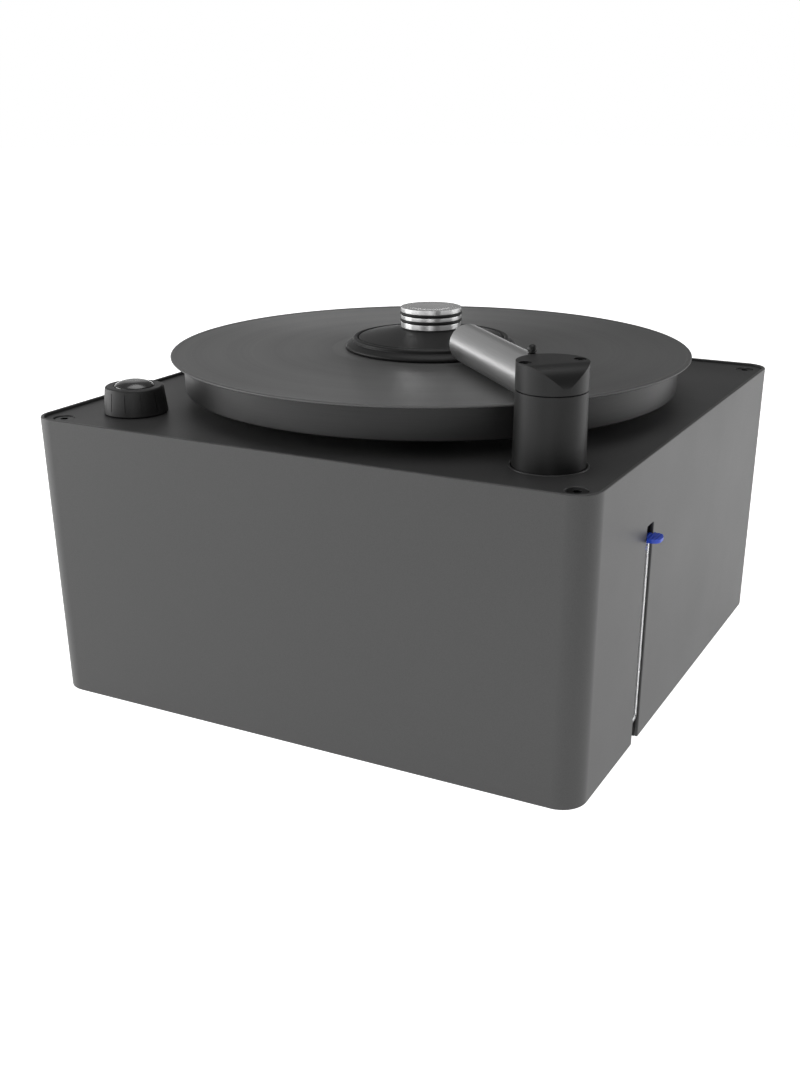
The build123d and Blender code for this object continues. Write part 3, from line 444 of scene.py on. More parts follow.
# a white studio: soft boxes all round and one overhead, the strongest on the left
studio = {
    "surround": 0.16, "floorGlow": 0.68, "floorSeen": 0.95, "floorColour": 0.86, "floorRadius": 7,
    "aimHeight": 0.12, "distance": 2.1,
    # degrees round and up, metres wide and tall, power
    "boxes": {
        "rightFrontBox": (293, 10, 0.6, 0.6, 2.3),
        "frontLeftBox": (240, 12, 1.3, 1.3, 6.2),
        "leftBox": (200, 14, 1.3, 1.3, 21),
        "backLeftBox": (140, 15, 1.3, 1.3, 1.6),
        "backRightBox": (42, 12, 1.3, 1.3, 10.2),
        "overheadBox": (90, 87, 1.5, 1.5, 14),
        "horizonBox": (132, 1.2, 3.9, 0.3, 6.2),
    },
}


def setSurround():
    # the camera sees plain white, the machine a dimmer room
    world = bpy.data.worlds.new("studioWorld")
    scene.world = world
    world.use_nodes = True
    lit = world.node_tree.nodes["Background"]
    lit.inputs["Color"].default_value = (1, 1, 1, 1)
    lit.inputs["Strength"].default_value = studio["surround"]
    seen = addNode(world, "Background", {"Color": (1, 1, 1, 1), "Strength": 1})
    path = addNode(world, "LightPath")
    pick = addNode(world, "MixShader", {"Fac": path["Is Camera Ray"], 1: lit.outputs["Background"],
                                        2: seen["Background"]})
    world.node_tree.links.new(pick["Shader"], world.node_tree.nodes["World Output"].inputs["Surface"])


def setLights():
    aim = Vector((0, 0, studio["aimHeight"]))
    for name, (turn, up, wide, tall, power) in studio["boxes"].items():
        lamp = bpy.data.lights.new(name, "AREA")
        setAll(lamp, {"shape": "RECTANGLE", "size": wide, "size_y": tall, "energy": power})
        light = addObject(name, lamp)
        up, turn = radians(up), radians(turn)
        away = Vector((cos(up) * cos(turn), cos(up) * sin(turn), sin(up)))
        light.location = aim + away * studio["distance"]
        light.rotation_euler = away.to_track_quat("Z", "Y").to_euler()


def setFloor():
    bm = bmesh.new()
    bmesh.ops.create_circle(bm, cap_ends=True, radius=studio["floorRadius"], segments=96)
    floor = addMesh("studioFloor", bm)
    paper = studio["floorColour"]
    pale = newFinish("palePaper", paper, 0.9, Emission_Color=(1, 1, 1, 1))
    colourFrom(pale, noiseFor(pale, objectPlace(pale), 30), paper - 0.01, paper + 0.01)
    cameraRay = addNode(pale, "LightPath")["Is Camera Ray"]
    feed(pale, "Emission Strength", spread(pale, cameraRay, studio["floorGlow"], studio["floorSeen"]))
    floor.data.materials.append(pale)


scene.view_settings.view_transform = "Standard"
scene.view_settings.look = "None"
setSurround()
setLights()
setFloor()
print("studio set")

# finishes by material slot: name, dark, light, roughness, grain or pitch, depth of the marks
finishes = {
    "cabinet_finish": grained("cabinetGrey", 0.055, 0.069, 0.42, 0.45, 0.012),
    "plate_finish": grained("plateGrey", 0.033, 0.042, 0.45, 0.4, 0.012),
    "platter_finish": lathed("platterBlack", 0.017, 0.023, 0.4, 0.5, 0.004, metallic=0, shine=0.42),
    "black_metal": grained("armBlack", 0.009, 0.013, 0.42, 0.3, 0.008, shine=0.37),
    "black_fastener": grained("blackOxide", 0.012, 0.022, 0.3, 0.2, 0.01, 0.6),
    "arm_aluminium": lathed("tubeAluminium", 0.52, 0.57, 0.37, 0.35, 0.0008),
    "bright_aluminium": lathed("polishedAluminium", 0.93, 0.95, 0.17, 0.4, 0.0002, metallic=0.65),
    "black_rubber": moulded("softRubber", 0.008, 0.012, 0.5, 0.3, 0.006, shine=0.34),
    "black_felt": moulded("padFelt", 0.008, 0.03, 0.95, 0.12, 0.08, Sheen_Weight=0.5),
    "black_plastic": moulded("mattPlastic", 0.008, 0.012, 0.5, 0.3, 0.006, shine=0.36),
    "knob_plastic": moulded("knobPlastic", 0.017, 0.024, 0.46, 0.3, 0.006),
    # a lighter copy of the black plastic for the column guide: painted highlight on its bead rim, on top of
    # the real highlight from the overhead lamp
    "guide_plastic": moulded("guidePlastic", 0.035, 0.045, 0.36, 0.3, 0.004),
    "gloss_black": moulded("glossPlastic", 0.018, 0.023, 0.25, 0.9, 0.0002, vary=0.15, shine=0.8,
                           Coat_Weight=0.5, Coat_Roughness=0.2),
    "steel": lathed("machinedSteel", 0.42, 0.55, 0.32, 0.4, 0.003),
    "zinc_steel": grained("zincSteel", (0.42, 0.43, 0.45), (0.58, 0.59, 0.6), 0.38, 2.2, 0.006, 0.8),
    "bronze": moulded("sinteredBronze", (0.34, 0.22, 0.09), (0.5, 0.35, 0.16), 0.42, 0.25, 0.02,
                      Metallic=1),
    "brass": lathed("turnedBrass", (0.6, 0.45, 0.18), (0.72, 0.56, 0.26), 0.26, 0.4, 0.003),
    "spring_steel": grained("springWire", 0.36, 0.5, 0.28, 0.6, 0.006, 1),
    "blue_plastic": moulded("bluePlastic", (0.01, 0.06, 0.58), (0.014, 0.075, 0.66), 0.36, 0.4, 0.005),
    "tank_plastic": moulded("tankPlastic", (0.62, 0.63, 0.6), (0.72, 0.73, 0.7), 0.5, 0.6, 0.02),
    "hose_grey": moulded("hoseGrey", 0.16, 0.22, 0.55, 0.8, 0.03),
    "motor_shell": grained("motorPaint", (0.19, 0.2, 0.21), (0.25, 0.26, 0.27), 0.45, 0.5, 0.02),
    "foam": moulded("closedFoam", 0.02, 0.05, 0.9, 0.7, 0.12),
    "board_green": moulded("boardGreen", (0.015, 0.12, 0.05), (0.02, 0.17, 0.07), 0.3, 1, 0.01),
    "pin_brass": moulded("platedPin", (0.6, 0.5, 0.3), (0.72, 0.62, 0.4), 0.25, 0.5, 0.004, Metallic=1),
    "record_vinyl": vinylFinish("recordVinyl"),
    "clear_tube": clearTubeFinish("clearTube"),
}
for subpart in frame["record"]["subparts"]:
    carried = frame["nodes"][subpart["node"]]
    carried.data.materials.clear()
    carried.data.materials.append(finishes[subpart["material_slot"]])
print("finishes made")

# cabinet: a folded sheet tube with a drain slot, vents and the mains opening
cabinet = {"corner": 14, "cornerSteps": 24, "wall": 2, "edge": 0.65, "over": 5, "slotSide": (-79.8, -69.8),
           "slotTop": 132, "ventCount": 5, "ventPitch": 4.4, "ventGap": 2.4, "ventWidth": 36,
           "inletWide": 28, "inletHigh": 48}


def makeCabinet():
    low, high = spanOf("shell")
    wide, deep = high.x - low.x, high.y - low.y
    wall, steps = cabinet["wall"], cabinet["cornerSteps"]
    bottom, through = low.z - cabinet["over"], wall * 4
    slotLow, slotHigh = cabinet["slotSide"]
    ventX, _, ventZ = middleOf("exhaust_gasket")
    inletX, _, inletZ = middleOf("power_inlet")
    piece = asObject("cabinetShell", slabShape(wide, deep, low.z, high.z, cabinet["corner"], steps))
    inside = slabShape(wide - 2 * wall, deep - 2 * wall, bottom, high.z + cabinet["over"],
                       cabinet["corner"] - wall, steps)
    slot = boxShape(high.x, (slotLow + slotHigh) / 2, (bottom + cabinet["slotTop"]) / 2,
                    through, slotHigh - slotLow, cabinet["slotTop"] - bottom)
    opening = boxShape(inletX, high.y, inletZ, cabinet["inletWide"], through, cabinet["inletHigh"])
    tools = [inside, slot, opening]
    for i in range(cabinet["ventCount"]):
        level = ventZ + cabinet["ventPitch"] * (i - (cabinet["ventCount"] - 1) / 2)
        tools.append(boxShape(ventX, high.y, level, cabinet["ventWidth"], through, cabinet["ventGap"]))
    cutWith(piece, *tools)
    softenEdges(piece, cabinet["edge"])
    ridePiece(piece, "cabinet_finish", "chassis", ["shell"])


makeCabinet()
print("cabinet made")

# top plate with countersinks for the corner screws and the screws under the platter
plate = {"corner": 11.7, "edge": 0.3, "over": 2, "screwAt": 150, "sink": (5.7, 3.2), "smallSink": (4, 2.1),
         "sinkRim": 0.42, "sinkDepth": 1.1, "sinkSteps": 64, "housingScrews": 26, "postScrews": 42,
         "holes": {"housing": 17.2, "guide": 19.75, "knob": 5}, "holeSteps": 96}


def sinkShape(x, y, top, bottom, head, shank):
    above, below = top + plate["over"], bottom - plate["over"]
    rim, deep = plate["sinkRim"], top - plate["sinkDepth"]
    profile = [(0, above), (head + rim, above), (head + rim, top), (head, top - rim), (head, deep),
               (shank, deep - head + shank), (shank, below), (0, below)]
    return moved(latheShape(profile, plate["sinkSteps"]), x, y)


def makeTopPlate():
    low, high = spanOf("top_plate")
    over = plate["over"]
    piece = asObject("topPlate", slabShape(high.x - low.x, high.y - low.y, low.z, high.z, plate["corner"]))
    tools = [sinkShape(*spot, high.z, low.z, *plate["sink"]) for spot in square(plate["screwAt"])]
    smallSpots = square(plate["postScrews"]) + square(plate["housingScrews"] / 2 ** 0.5)
    tools += [sinkShape(*spot, high.z, low.z, *plate["smallSink"]) for spot in smallSpots]
    spots = [(0, 0), middleOf("arm_column")[:2], middleOf("control_knob")[:2]]
    tools += [rodShape(*spot, low.z - over, high.z + over, radius, plate["holeSteps"])
              for spot, radius in zip(spots, plate["holes"].values())]
    cutWith(piece, *tools)
    softenEdges(piece, plate["edge"], 2)
    ridePiece(piece, "plate_finish", "chassis", ["top_plate"])


makeTopPlate()

# socket screws in the plate's corners, flat heads with a hexagon recess
cornerScrew = {"steps": 64, "head": 5.05, "headSide": 0.6, "shank": 3, "edge": 0.2, "socketEdge": 0.12,
               "lower": 0.25, "socket": 4, "socketDepth": 2.2, "over": 3}


def cutSocket(piece, x, y, top, screw):
    # a hexagon recess in the head
    bm = bmesh.new()
    bmesh.ops.create_circle(bm, cap_ends=True, radius=screw["socket"] / 3 ** 0.5, segments=6)
    low, high = top - screw["socketDepth"], top + screw["over"]
    cutWith(piece, moved(pushOut(bm, z=high - low), x, y, low))


def makeCornerScrews():
    low, high = spanOf("top_plate_screws")
    head, shank = cornerScrew["head"], cornerScrew["shank"]
    top = high.z - cornerScrew["lower"]
    side = top - cornerScrew["headSide"]
    profile = [(0, top), (head, top), (head, side), (shank, side - head + shank), (shank, low.z), (0, low.z)]
    one = roundPiece("cornerScrews", profile, cornerScrew)
    cutSocket(one, 0, 0, top, cornerScrew)
    softenEdges(one, cornerScrew["socketEdge"], 2)
    piece = asObject("cornerScrews", joinedAt(reopened(one), square(plate["screwAt"])))
    ridePiece(piece, "black_fastener", "chassis", ["top_plate_screws"])


makeCornerScrews()

# round rubber feet with a moulded ring groove
foot = {"at": 120, "steps": 64, "edge": 0.35, "groove": ((0, 4), (-0.5, 4.5), (-0.5, 5.2), (0, 5.7))}


def makeFeet():
    low, high = spanOf("feet")
    radius = high.x - foot["at"]
    profile = [(0, low.z), (radius, low.z), *shifted(foot["groove"], radius, low.z), (radius, high.z),
               (0, high.z)]
    bm = joinedAt(latheShape(profile, foot["steps"], foot["edge"]), square(foot["at"]))
    ridePiece(asObject("rubberFeet", bm), "black_rubber", "chassis", ["feet"])


makeFeet()
print("top plate, screws and feet made")

# platter, mat and record turn together
platter = {"steps": 200, "edge": 0.8, "rim": 6, "hub": 24, "skin": 5, "bore": 6.05, "ribs": 6, "ribWidth": 3,
           "ribOver": 2, "ribUp": 4, "ribIn": 0.5}


def makePlatter():
    low, high = spanOf("platter")
    bore, hub, radius = platter["bore"], platter["hub"], high.x
    inner, under = radius - platter["rim"], high.z - platter["skin"]
    profile = [(bore, low.z), (hub, low.z), (hub, under), (inner, under), (inner, low.z), (radius, low.z),
               (radius, high.z), (bore, high.z)]
    piece = roundPiece("platterDisc", profile, platter)
    ribLow, ribHigh = low.z + platter["ribUp"], under + platter["ribIn"]
    ribs = bmesh.new()
    for i in range(platter["ribs"]):
        rib = addBox(ribs, inner - hub + platter["ribOver"], platter["ribWidth"], ribHigh - ribLow)
        moved(ribs, (inner + hub) / 2, 0, (ribHigh + ribLow) / 2, rib)
        turned(ribs, "Z", 2 * pi * (i + 0.5) / platter["ribs"], rib)
    cutWith(piece, ribs, operation="UNION")
    ridePiece(piece, "platter_finish", "turntable", ["platter"])


makePlatter()

mat = {"hole": 8, "edge": 0.3, "steps": 160}


def makeMat():
    low, high = spanOf("platter_mat")
    piece = roundPiece("platterMat", bandSection(mat["hole"], high.x, low.z, high.z), mat, segments=2)
    ridePiece(piece, "black_rubber", "turntable", ["platter_mat"])


makeMat()

# the record: raised rim bead, sunk playing area, raised label area with a pressed ring
record = {"hole": 3.62, "steps": 288, "edge": 0.12, "underEdge": 0.5, "sunk": 0.3, "labelEdge": 58,
          "label": 52, "labelRing": 46, "rim": ((0, -0.55), (-0.5, -0.1), (-2.2, -0.1), (-3.2, -0.3)),
          "ring": ((0.6, 0), (0.3, -0.15), (-0.3, -0.15), (-0.6, 0))}


def makeRecord():
    low, high = spanOf("record_disc")
    hole, under, radius, top = record["hole"], record["underEdge"], high.x, high.z
    profile = [(hole, low.z), (radius - under, low.z), (radius, low.z + under),
               *shifted(record["rim"], radius, top), (record["labelEdge"], top - record["sunk"]),
               (record["label"], top), *shifted(record["ring"], record["labelRing"], top), (hole, top)]
    piece = roundPiece("recordDisc", profile, record, segments=2)
    ridePiece(piece, "record_vinyl", "turntable", ["record_disc"])


makeRecord()
print("platter and record made")

# clamp: rubber-edged disc that presses the record down, its side measured from the seal's foot
disc = {"steps": 144, "edge": 0.35, "bore": 7.1, "underCut": 10.6, "under": 3.6,
        "side": ((0, 1.2), (0, 5.5), (-0.9, 6.4)), "cone": ((25.4, -2.3), (18.4, -0.8), (17, 0))}


def makeClampDisc():
    radius, _, top = spanOf("clamp_puck")[1]
    foot = spanOf("clamp_seal")[0].z
    bore, cut, under = disc["bore"], disc["underCut"], foot + disc["under"]
    side = shifted(disc["side"], radius, foot)
    profile = [(bore, under), (cut, under), (cut, side[0][1]), *side, *shifted(disc["cone"], 0, top),
               (bore, top)]
    piece = roundPiece("clampDisc", profile, disc)
    ridePiece(piece, "black_plastic", "clamp_disc", ["clamp_puck"])


makeClampDisc()

# the rubber edge: a band round the disc and a soft lip, each point given outwards and upwards
seal = {"steps": 144, "edge": 0.5, "play": 0.1, "bandRadius": 45.6,
        "inner": ((0, 0.5), (0, 5.6), (0.7, 6.4)), "band": ((-0.9, 6.4), (0, 5.7), (0, 4.2), (1.4, 3.7)),
        "lip": ((-1, 2.75), (-0.15, 1.85), (0, 1.2), (-0.4, 0.4), (-1.5, 0), (-4, 0), (-6, 0.5))}


def makeSealRing():
    low, high = spanOf("clamp_seal")
    inner = spanOf("clamp_puck")[1].x + seal["play"]
    profile = shifted(seal["inner"], inner, low.z)
    profile += shifted(seal["band"], seal["bandRadius"], low.z)
    profile += shifted(seal["lip"], high.x, low.z)
    piece = roundPiece("clampSealRing", profile, seal, segments=4)
    ridePiece(piece, "black_rubber", "clamp_disc", ["clamp_seal"], 60)


makeSealRing()

# smooth turned grip with two rubber rings and a dished top
grip = {"steps": 128, "edge": 0.22, "dish": 12.6, "dishDepth": 0.85, "dishSteps": 8, "bore": 7, "skin": 3,
        "rings": (3.9, 7.8), "ringSection": 0.85, "ringProud": 0.55, "ringSteps": 16}


def makeGrip():
    low, high = spanOf("clamp_knob")
    radius, section, steps = high.x, grip["ringSection"], grip["dishSteps"]
    seat = radius + grip["ringProud"] - 2 * section
    floor = high.z - grip["skin"]
    profile = [(0, floor), (grip["bore"], floor), (grip["bore"], low.z), (radius, low.z)]
    for level in grip["rings"]:
        under, over = low.z + level - section, low.z + level + section
        profile += [(radius, under), (seat, under), (seat, over), (radius, over)]
    profile += [(radius, high.z), (grip["dish"], high.z)]
    for i in range(1, steps + 1):
        share = 1 - i / steps
        profile.append((grip["dish"] * share, high.z - grip["dishDepth"] * (1 - share ** 2)))
    dished = range(len(profile) - steps - 2, len(profile))
    piece = asObject("clampGrip", latheShape(profile, grip["steps"], grip["edge"], 3, dished))
    ridePiece(piece, "bright_aluminium", "clamp_grip", ["clamp_knob"], 50)
    rings = bmesh.new()
    for level in grip["rings"]:
        fresh = bmesh.ops.create_circle(rings, radius=section, segments=grip["ringSteps"])["verts"]
        turned(rings, "X", pi / 2, fresh)
        moved(rings, radius + grip["ringProud"] - section, 0, low.z + level, fresh)
        loop = fresh + [e for e in rings.edges if e.verts[0] in fresh and e.verts[1] in fresh]
        spinRound(rings, loop, grip["steps"])
    ridePiece(asObject("clampGripRings", rings), "black_rubber", "clamp_grip", ["clamp_o_rings"])


makeGrip()
print("clamp made")

# suction arm: column, clamping head, tube and small parts share these values
arm = {"angle": 135, "tail": 8, "reach": 118, "axisZ": 205.8, "tubeHole": 10.57, "holeReach": 30,
       "holeSteps": 96, "screwAt": 13.9}


def alongArm(distance, offset=0):
    (x, y, _), a = middleOf("arm_column"), radians(arm["angle"])
    return x + distance * cos(a) - offset * sin(a), y + distance * sin(a) + offset * cos(a)


def turnedToArm(bm):
    return turned(bm, "Z", radians(arm["angle"]))


def laidAlongArm(bm):
    # turns a shape built up +Z so that it lies along the tube
    x, y = alongArm(0)
    return moved(turnedToArm(turned(bm, "Y", pi / 2)), x, y, arm["axisZ"])


def turnedBlock(distance, z, length, width, height):
    x, y = alongArm(distance)
    return moved(turnedToArm(boxShape(0, 0, 0, length, width, height)), x, y, z)


def tubeHole():
    profile = bandSection(0, arm["tubeHole"], -arm["tail"], arm["holeReach"])
    return laidAlongArm(latheShape(profile, arm["holeSteps"]))


column = {"steps": 112, "edge": 0.22, "stem": 12, "bore": 7, "shoulder": 150, "foot": ((0, 0), (-0.25, 8)),
          "slim": 0.7, "seam": 205.1, "neck": ((0.2, -14), (0, 0), (-0.9, 0), (-0.9, 0.5))}


def makeColumn():
    low, high = spanOf("arm_column")
    x, y, _ = middleOf("arm_column")
    base, top = (high.x - low.x) / 2, spanOf("top_plate")[1].z
    bore, stem, shoulder = column["bore"], column["stem"], column["shoulder"]
    profile = [(bore, low.z), (stem, low.z), (stem, shoulder), (base, shoulder),
               *shifted(column["foot"], base, top),
               *shifted(column["neck"], base - column["slim"], column["seam"])]
    profile.append((bore, profile[-1][1]))
    piece = roundPiece("armColumn", profile, column, x, y)
    cutWith(piece, tubeHole())
    ridePiece(piece, "black_metal", "arm", ["arm_column"])


makeColumn()

# the head clamps the tube from above, its outer side rolls down in a quarter round
head = {"steps": 160, "edge": 0.2, "edgeSteps": 4, "crease": 8, "noseRound": 10.9, "noseAt": 6.5,
        "noseBar": 40, "noseBlock": (40, 60, 40), "well": 4.2, "wellRadius": 3.1, "hole": 1.6,
        "holeSteps": 32, "holeEnd": 1, "over": 3}


def makeHead():
    low, high = spanOf("arm_head")
    x, y, _ = middleOf("arm_column")
    over, noseZ = head["over"], high.z - head["noseRound"]
    piece = asObject("armHead", rodShape(x, y, low.z, high.z, (high.y - low.y) / 2, head["steps"]))
    # the roll is a block beyond the quarter round, with the round's own bar left out
    long, wide, tall = head["noseBlock"]
    block = asObject("tool", turnedBlock(-(head["noseAt"] + long / 2), noseZ + tall / 2, long, wide, tall))
    bar = rodShape(0, 0, -head["noseBar"], head["noseBar"], head["noseRound"], head["steps"])
    barX, barY = alongArm(-head["noseAt"])
    cutWith(block, moved(turnedToArm(turned(bar, "X", pi / 2)), barX, barY, noseZ))
    tools = [block, tubeHole()]
    for side in (-1, 1):
        spot = alongArm(0, side * arm["screwAt"])
        tools += [rodShape(*spot, high.z - head["well"], high.z + over, head["wellRadius"]),
                  rodShape(*spot, low.z - over, high.z - head["holeEnd"], head["hole"], head["holeSteps"])]
    cutWith(piece, *tools)
    roundRims(piece, (low.z, high.z), head["edge"])
    ridePiece(piece, "black_metal", "arm", ["arm_head"], None)


def roundRims(piece, levels, width):
    # rounds the edges that lie in the given levels and keeps every other crease sharp
    shadeSmooth(piece, head["crease"])
    bm = bmesh.new()
    bm.from_mesh(piece.data)
    rims = [e for e in bm.edges if e.calc_face_angle(0) > 1
            and any(all(abs(v.co.z / mm - level) < 0.01 for v in e.verts) for level in levels)]
    rounded(bm, rims, width * mm, head["edgeSteps"], "EDGES", True)
    bm.to_mesh(piece.data)
    bm.free()


makeHead()

headScrew = {"head": 2.75, "headHigh": 3, "shank": 1.5, "sunk": 0.5, "edge": 0.3, "socket": 2.5,
             "socketDepth": 1.6, "steps": 48, "over": 2}


def makeHeadScrews():
    low = spanOf("arm_screws")[0].z
    top = spanOf("arm_head")[1].z - headScrew["sunk"]
    radius, shank, under = headScrew["head"], headScrew["shank"], top - headScrew["headHigh"]
    profile = [(0, low), (shank, low), (shank, under), (radius, under), (radius, top), (0, top)]
    pair = []
    for side in (-1, 1):
        x, y = alongArm(0, side * arm["screwAt"])
        one = roundPiece("headScrew", profile, headScrew, x, y)
        cutSocket(one, x, y, top, headScrew)
        pair.append(one)
    cutWith(*pair, operation="UNION")
    pair[0].name = "headScrews"
    ridePiece(pair[0], "black_fastener", "arm", ["arm_screws"])


makeHeadScrews()

# suction tube: a flat underneath with the slot in it, a hole for the pin and a recessed end cap
tube = {"radius": 10.55, "bore": 9, "endRound": 0.7, "steps": 144, "flatAt": 9.8, "flatFrom": 16.5,
        "flatOver": 5, "flatBlock": (30, 10), "slotFrom": 24, "slotTo": 108, "slotBlock": (1.6, 6),
        "pinAt": 25.4, "pinHole": (14, 1.5, 32)}
tubeCap = {"steps": 96, "edge": 0.15, "inside": 0.1, "long": 4.4,
           "face": ((0, -0.4), (-0.6, -0.1), (-2.2, -0.1), (-2.6, -0.5))}


def makeTube():
    start, end = -arm["tail"], arm["reach"]
    profile = bandSection(tube["bore"], tube["radius"], start, end)
    piece = asObject("armTube", laidAlongArm(closedLathe(profile, tube["steps"], tube["endRound"], 5)))
    flatEnd = end + tube["flatOver"]
    flatWide, flatHigh = tube["flatBlock"]
    pinHigh, pinRadius, pinSteps = tube["pinHole"]
    flat = turnedBlock((tube["flatFrom"] + flatEnd) / 2, arm["axisZ"] - tube["flatAt"] - flatHigh / 2,
                       flatEnd - tube["flatFrom"], flatWide, flatHigh)
    slot = turnedBlock((tube["slotFrom"] + tube["slotTo"]) / 2, arm["axisZ"] - tube["bore"],
                       tube["slotTo"] - tube["slotFrom"], *tube["slotBlock"])
    hole = rodShape(*alongArm(tube["pinAt"]), arm["axisZ"], arm["axisZ"] + pinHigh, pinRadius, pinSteps)
    cutWith(piece, flat, slot, hole)
    ridePiece(piece, "arm_aluminium", "arm", ["arm_tube"])
    capEnd, bore = end - tubeCap["inside"], tube["bore"]
    back = capEnd - tubeCap["long"]
    profile = [(0, back), (bore, back), *shifted(tubeCap["face"], bore, capEnd)]
    profile.append((0, profile[-1][1]))
    cap = asObject("tubeEndCap", laidAlongArm(latheShape(profile, tubeCap["steps"], tubeCap["edge"], 2)))
    ridePiece(cap, "arm_aluminium", "arm", ["tube_end_cap"])


makeTube()

# the ball pin on the tube, its ball drawn from an angle in radians up to the top
pin = {"steps": 48, "shank": 1.5, "collar": 2.1, "collarHigh": 0.8, "collarEdge": 0.1, "play": 0.1,
       "ball": 2.4, "ballFrom": -1.1, "ballSteps": 12}


def makePin():
    low, high = spanOf("arm_pin")
    x, y = alongArm(tube["pinAt"])
    shank, collar, ball = pin["shank"], pin["collar"], pin["ball"]
    centre = high.z - ball
    seat = arm["axisZ"] + tube["radius"] + pin["play"]
    collarTop = seat + pin["collarHigh"]
    profile = [(0, low.z), (shank, low.z), (shank, seat), (collar, seat), (collar, collarTop),
               (shank, collarTop + pin["collarEdge"])]
    for i in range(pin["ballSteps"] + 1):
        a = pin["ballFrom"] + (pi / 2 - pin["ballFrom"]) * i / pin["ballSteps"]
        profile.append((ball * cos(a), centre + ball * sin(a)))
    profile[-1] = (0, high.z)
    piece = roundPiece("ballPin", profile, pin, x, y)
    ridePiece(piece, "black_metal", "arm", ["arm_pin"], 50)


makePin()

# the guide the column slides in: a flange under the plate and a rounded bead above it
guide = {"steps": 112, "bore": 18.5, "collar": 19.7, "flange": 31, "flangeHigh": 3, "outer": 23,
         "stem": 12.1, "seat": 4, "bead": 0.42, "beadSteps": 8}


def makeGuide():
    low = spanOf("column_guide")[0].z
    x, y, _ = middleOf("arm_column")
    plateLow, plateHigh = spanOf("top_plate")[0].z, spanOf("top_plate")[1].z
    bore, steps = guide["bore"], guide["beadSteps"]
    ring = (guide["collar"] - bore) / 2
    under, seat = plateLow - guide["flangeHigh"], low + guide["seat"]
    profile = [(bore + ring - ring * cos(pi * i / steps), plateHigh + guide["bead"] * sin(pi * i / steps))
               for i in range(steps + 1)]
    profile += [(guide["collar"], plateLow), (guide["flange"], plateLow), (guide["flange"], under),
                (guide["outer"], under), (guide["outer"], low), (guide["stem"], low), (guide["stem"], seat),
                (bore, seat)]
    piece = roundPiece("columnGuide", profile, guide, x, y)
    # its finish is a lighter grey than its black plastic slot, a painted highlight that brightens the bead's
    # rim line
    ridePiece(piece, "black_plastic", "chassis", ["column_guide"], 50, "guide_plastic")


makeGuide()

# the coil spring under the lift sleeve, made at one length, though the real one shortens as the arm is drawn
# down
spring = {"wire": 1.2, "mean": 15.6, "turns": 4.5, "steps": 216, "segments": 16, "travel": 0.46}


def makeSpring():
    low, high = spanOf("column_spring")
    x, y, _ = middleOf("arm_column")
    wire, mean, steps = spring["wire"], spring["mean"], spring["steps"]
    rise = high.z - low.z - 2 * wire
    slope = atan2(rise, 2 * pi * mean * spring["turns"])
    bm = bmesh.new()
    bmesh.ops.create_circle(bm, cap_ends=True, segments=spring["segments"], radius=wire)
    moved(turned(bm, "X", pi / 2 + slope), mean, 0, low.z + wire)
    bmesh.ops.spin(bm, geom=bm.verts[:] + bm.edges[:] + bm.faces[:], cent=(0, 0, 0), axis=(0, 0, 1),
                   dvec=(0, 0, rise / steps), angle=2 * pi * spring["turns"], steps=steps,
                   use_duplicate=False)
    piece = asObject("columnSpring", moved(bm, x, y))
    ridePiece(piece, "spring_steel", "chassis", ["column_spring"])
    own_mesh(piece)


makeSpring()
print("suction arm made")

# selector knob: tapered skirt with fine grip grooves and a domed gloss cap, angles in degrees
knob = {"steps": 144, "edge": 0.25, "base": 17.75, "baseEdge": 0.3, "top": 15.9, "bore": 3.02,
        "shoulder": ((0.25, -0.9), (-0.1, -0.3), (-0.7, 0)), "well": 11.15, "wellDepth": 3,
        "wellRim": ((0.6, 0), (0, -0.2)), "grooves": 12, "firstGroove": 19.5, "groove": (0.6, 0.4, 9.8),
        "grooveUp": 0.2}
knobCap = {"steps": 96, "radius": 11, "side": ((0, -0.35), (-0.25, 0)), "domeIn": 0.3, "domeFrom": 0.15,
           "domePower": 4, "domeSteps": 16}


def makeKnob():
    low, high = spanOf("control_knob")
    x, y, middleZ = middleOf("control_knob")
    bore, base, well, top = knob["bore"], knob["base"], knob["well"], high.z
    floor = top - knob["wellDepth"]
    profile = [(bore, low.z), (base - knob["baseEdge"], low.z), (base, low.z + knob["baseEdge"])]
    profile += shifted(knob["shoulder"], knob["top"], top) + shifted(knob["wellRim"], well, top)
    profile += [(well, floor), (bore, floor)]
    piece = roundPiece("selectorKnob", profile, knob, x, y)
    lean = (base - knob["top"]) / (top - low.z)
    grooves = bmesh.new()
    for i in range(knob["grooves"]):
        fresh = addBox(grooves, *knob["groove"])
        turned(grooves, "Y", -lean, fresh)
        moved(grooves, (base + knob["top"]) / 2, 0, middleZ + knob["grooveUp"], fresh)
        turned(grooves, "Z", radians(knob["firstGroove"] + 360 / knob["grooves"] * i), fresh)
    cutWith(piece, moved(grooves, x, y))
    ridePiece(piece, "black_plastic", "selector", ["control_knob"], finish="knob_plastic")
    capLow, capHigh = spanOf("knob_cap")
    radius, dome, steps = knobCap["radius"], knobCap["domeFrom"], knobCap["domeSteps"]
    rise = capHigh.z - top - dome
    profile = [(0, capLow.z), (radius, capLow.z), *shifted(knobCap["side"], radius, top)]
    for i in range(steps + 1):
        share = 1 - i / steps
        profile.append(((radius - knobCap["domeIn"]) * share,
                        top + dome + rise * (1 - share ** knobCap["domePower"])))
    cap = roundPiece("knobCap", profile, knobCap, x, y)
    ridePiece(cap, "gloss_black", "selector", ["knob_cap"], 60)


makeKnob()
print("selector knob made")

# clear level hose and its blue plug
hose = {"steps": 48, "wall": 0.65, "edge": 0.15}


def makeHose():
    low, high = spanOf("level_hose")
    x, y, _ = middleOf("level_hose")
    radius = (high.x - low.x) / 2
    profile = bandSection(radius - hose["wall"], radius, low.z, high.z)
    piece = roundPiece("levelHose", profile, hose, x, y, 2)
    ridePiece(piece, "clear_tube", "drain_hose", ["level_hose"])


makeHose()

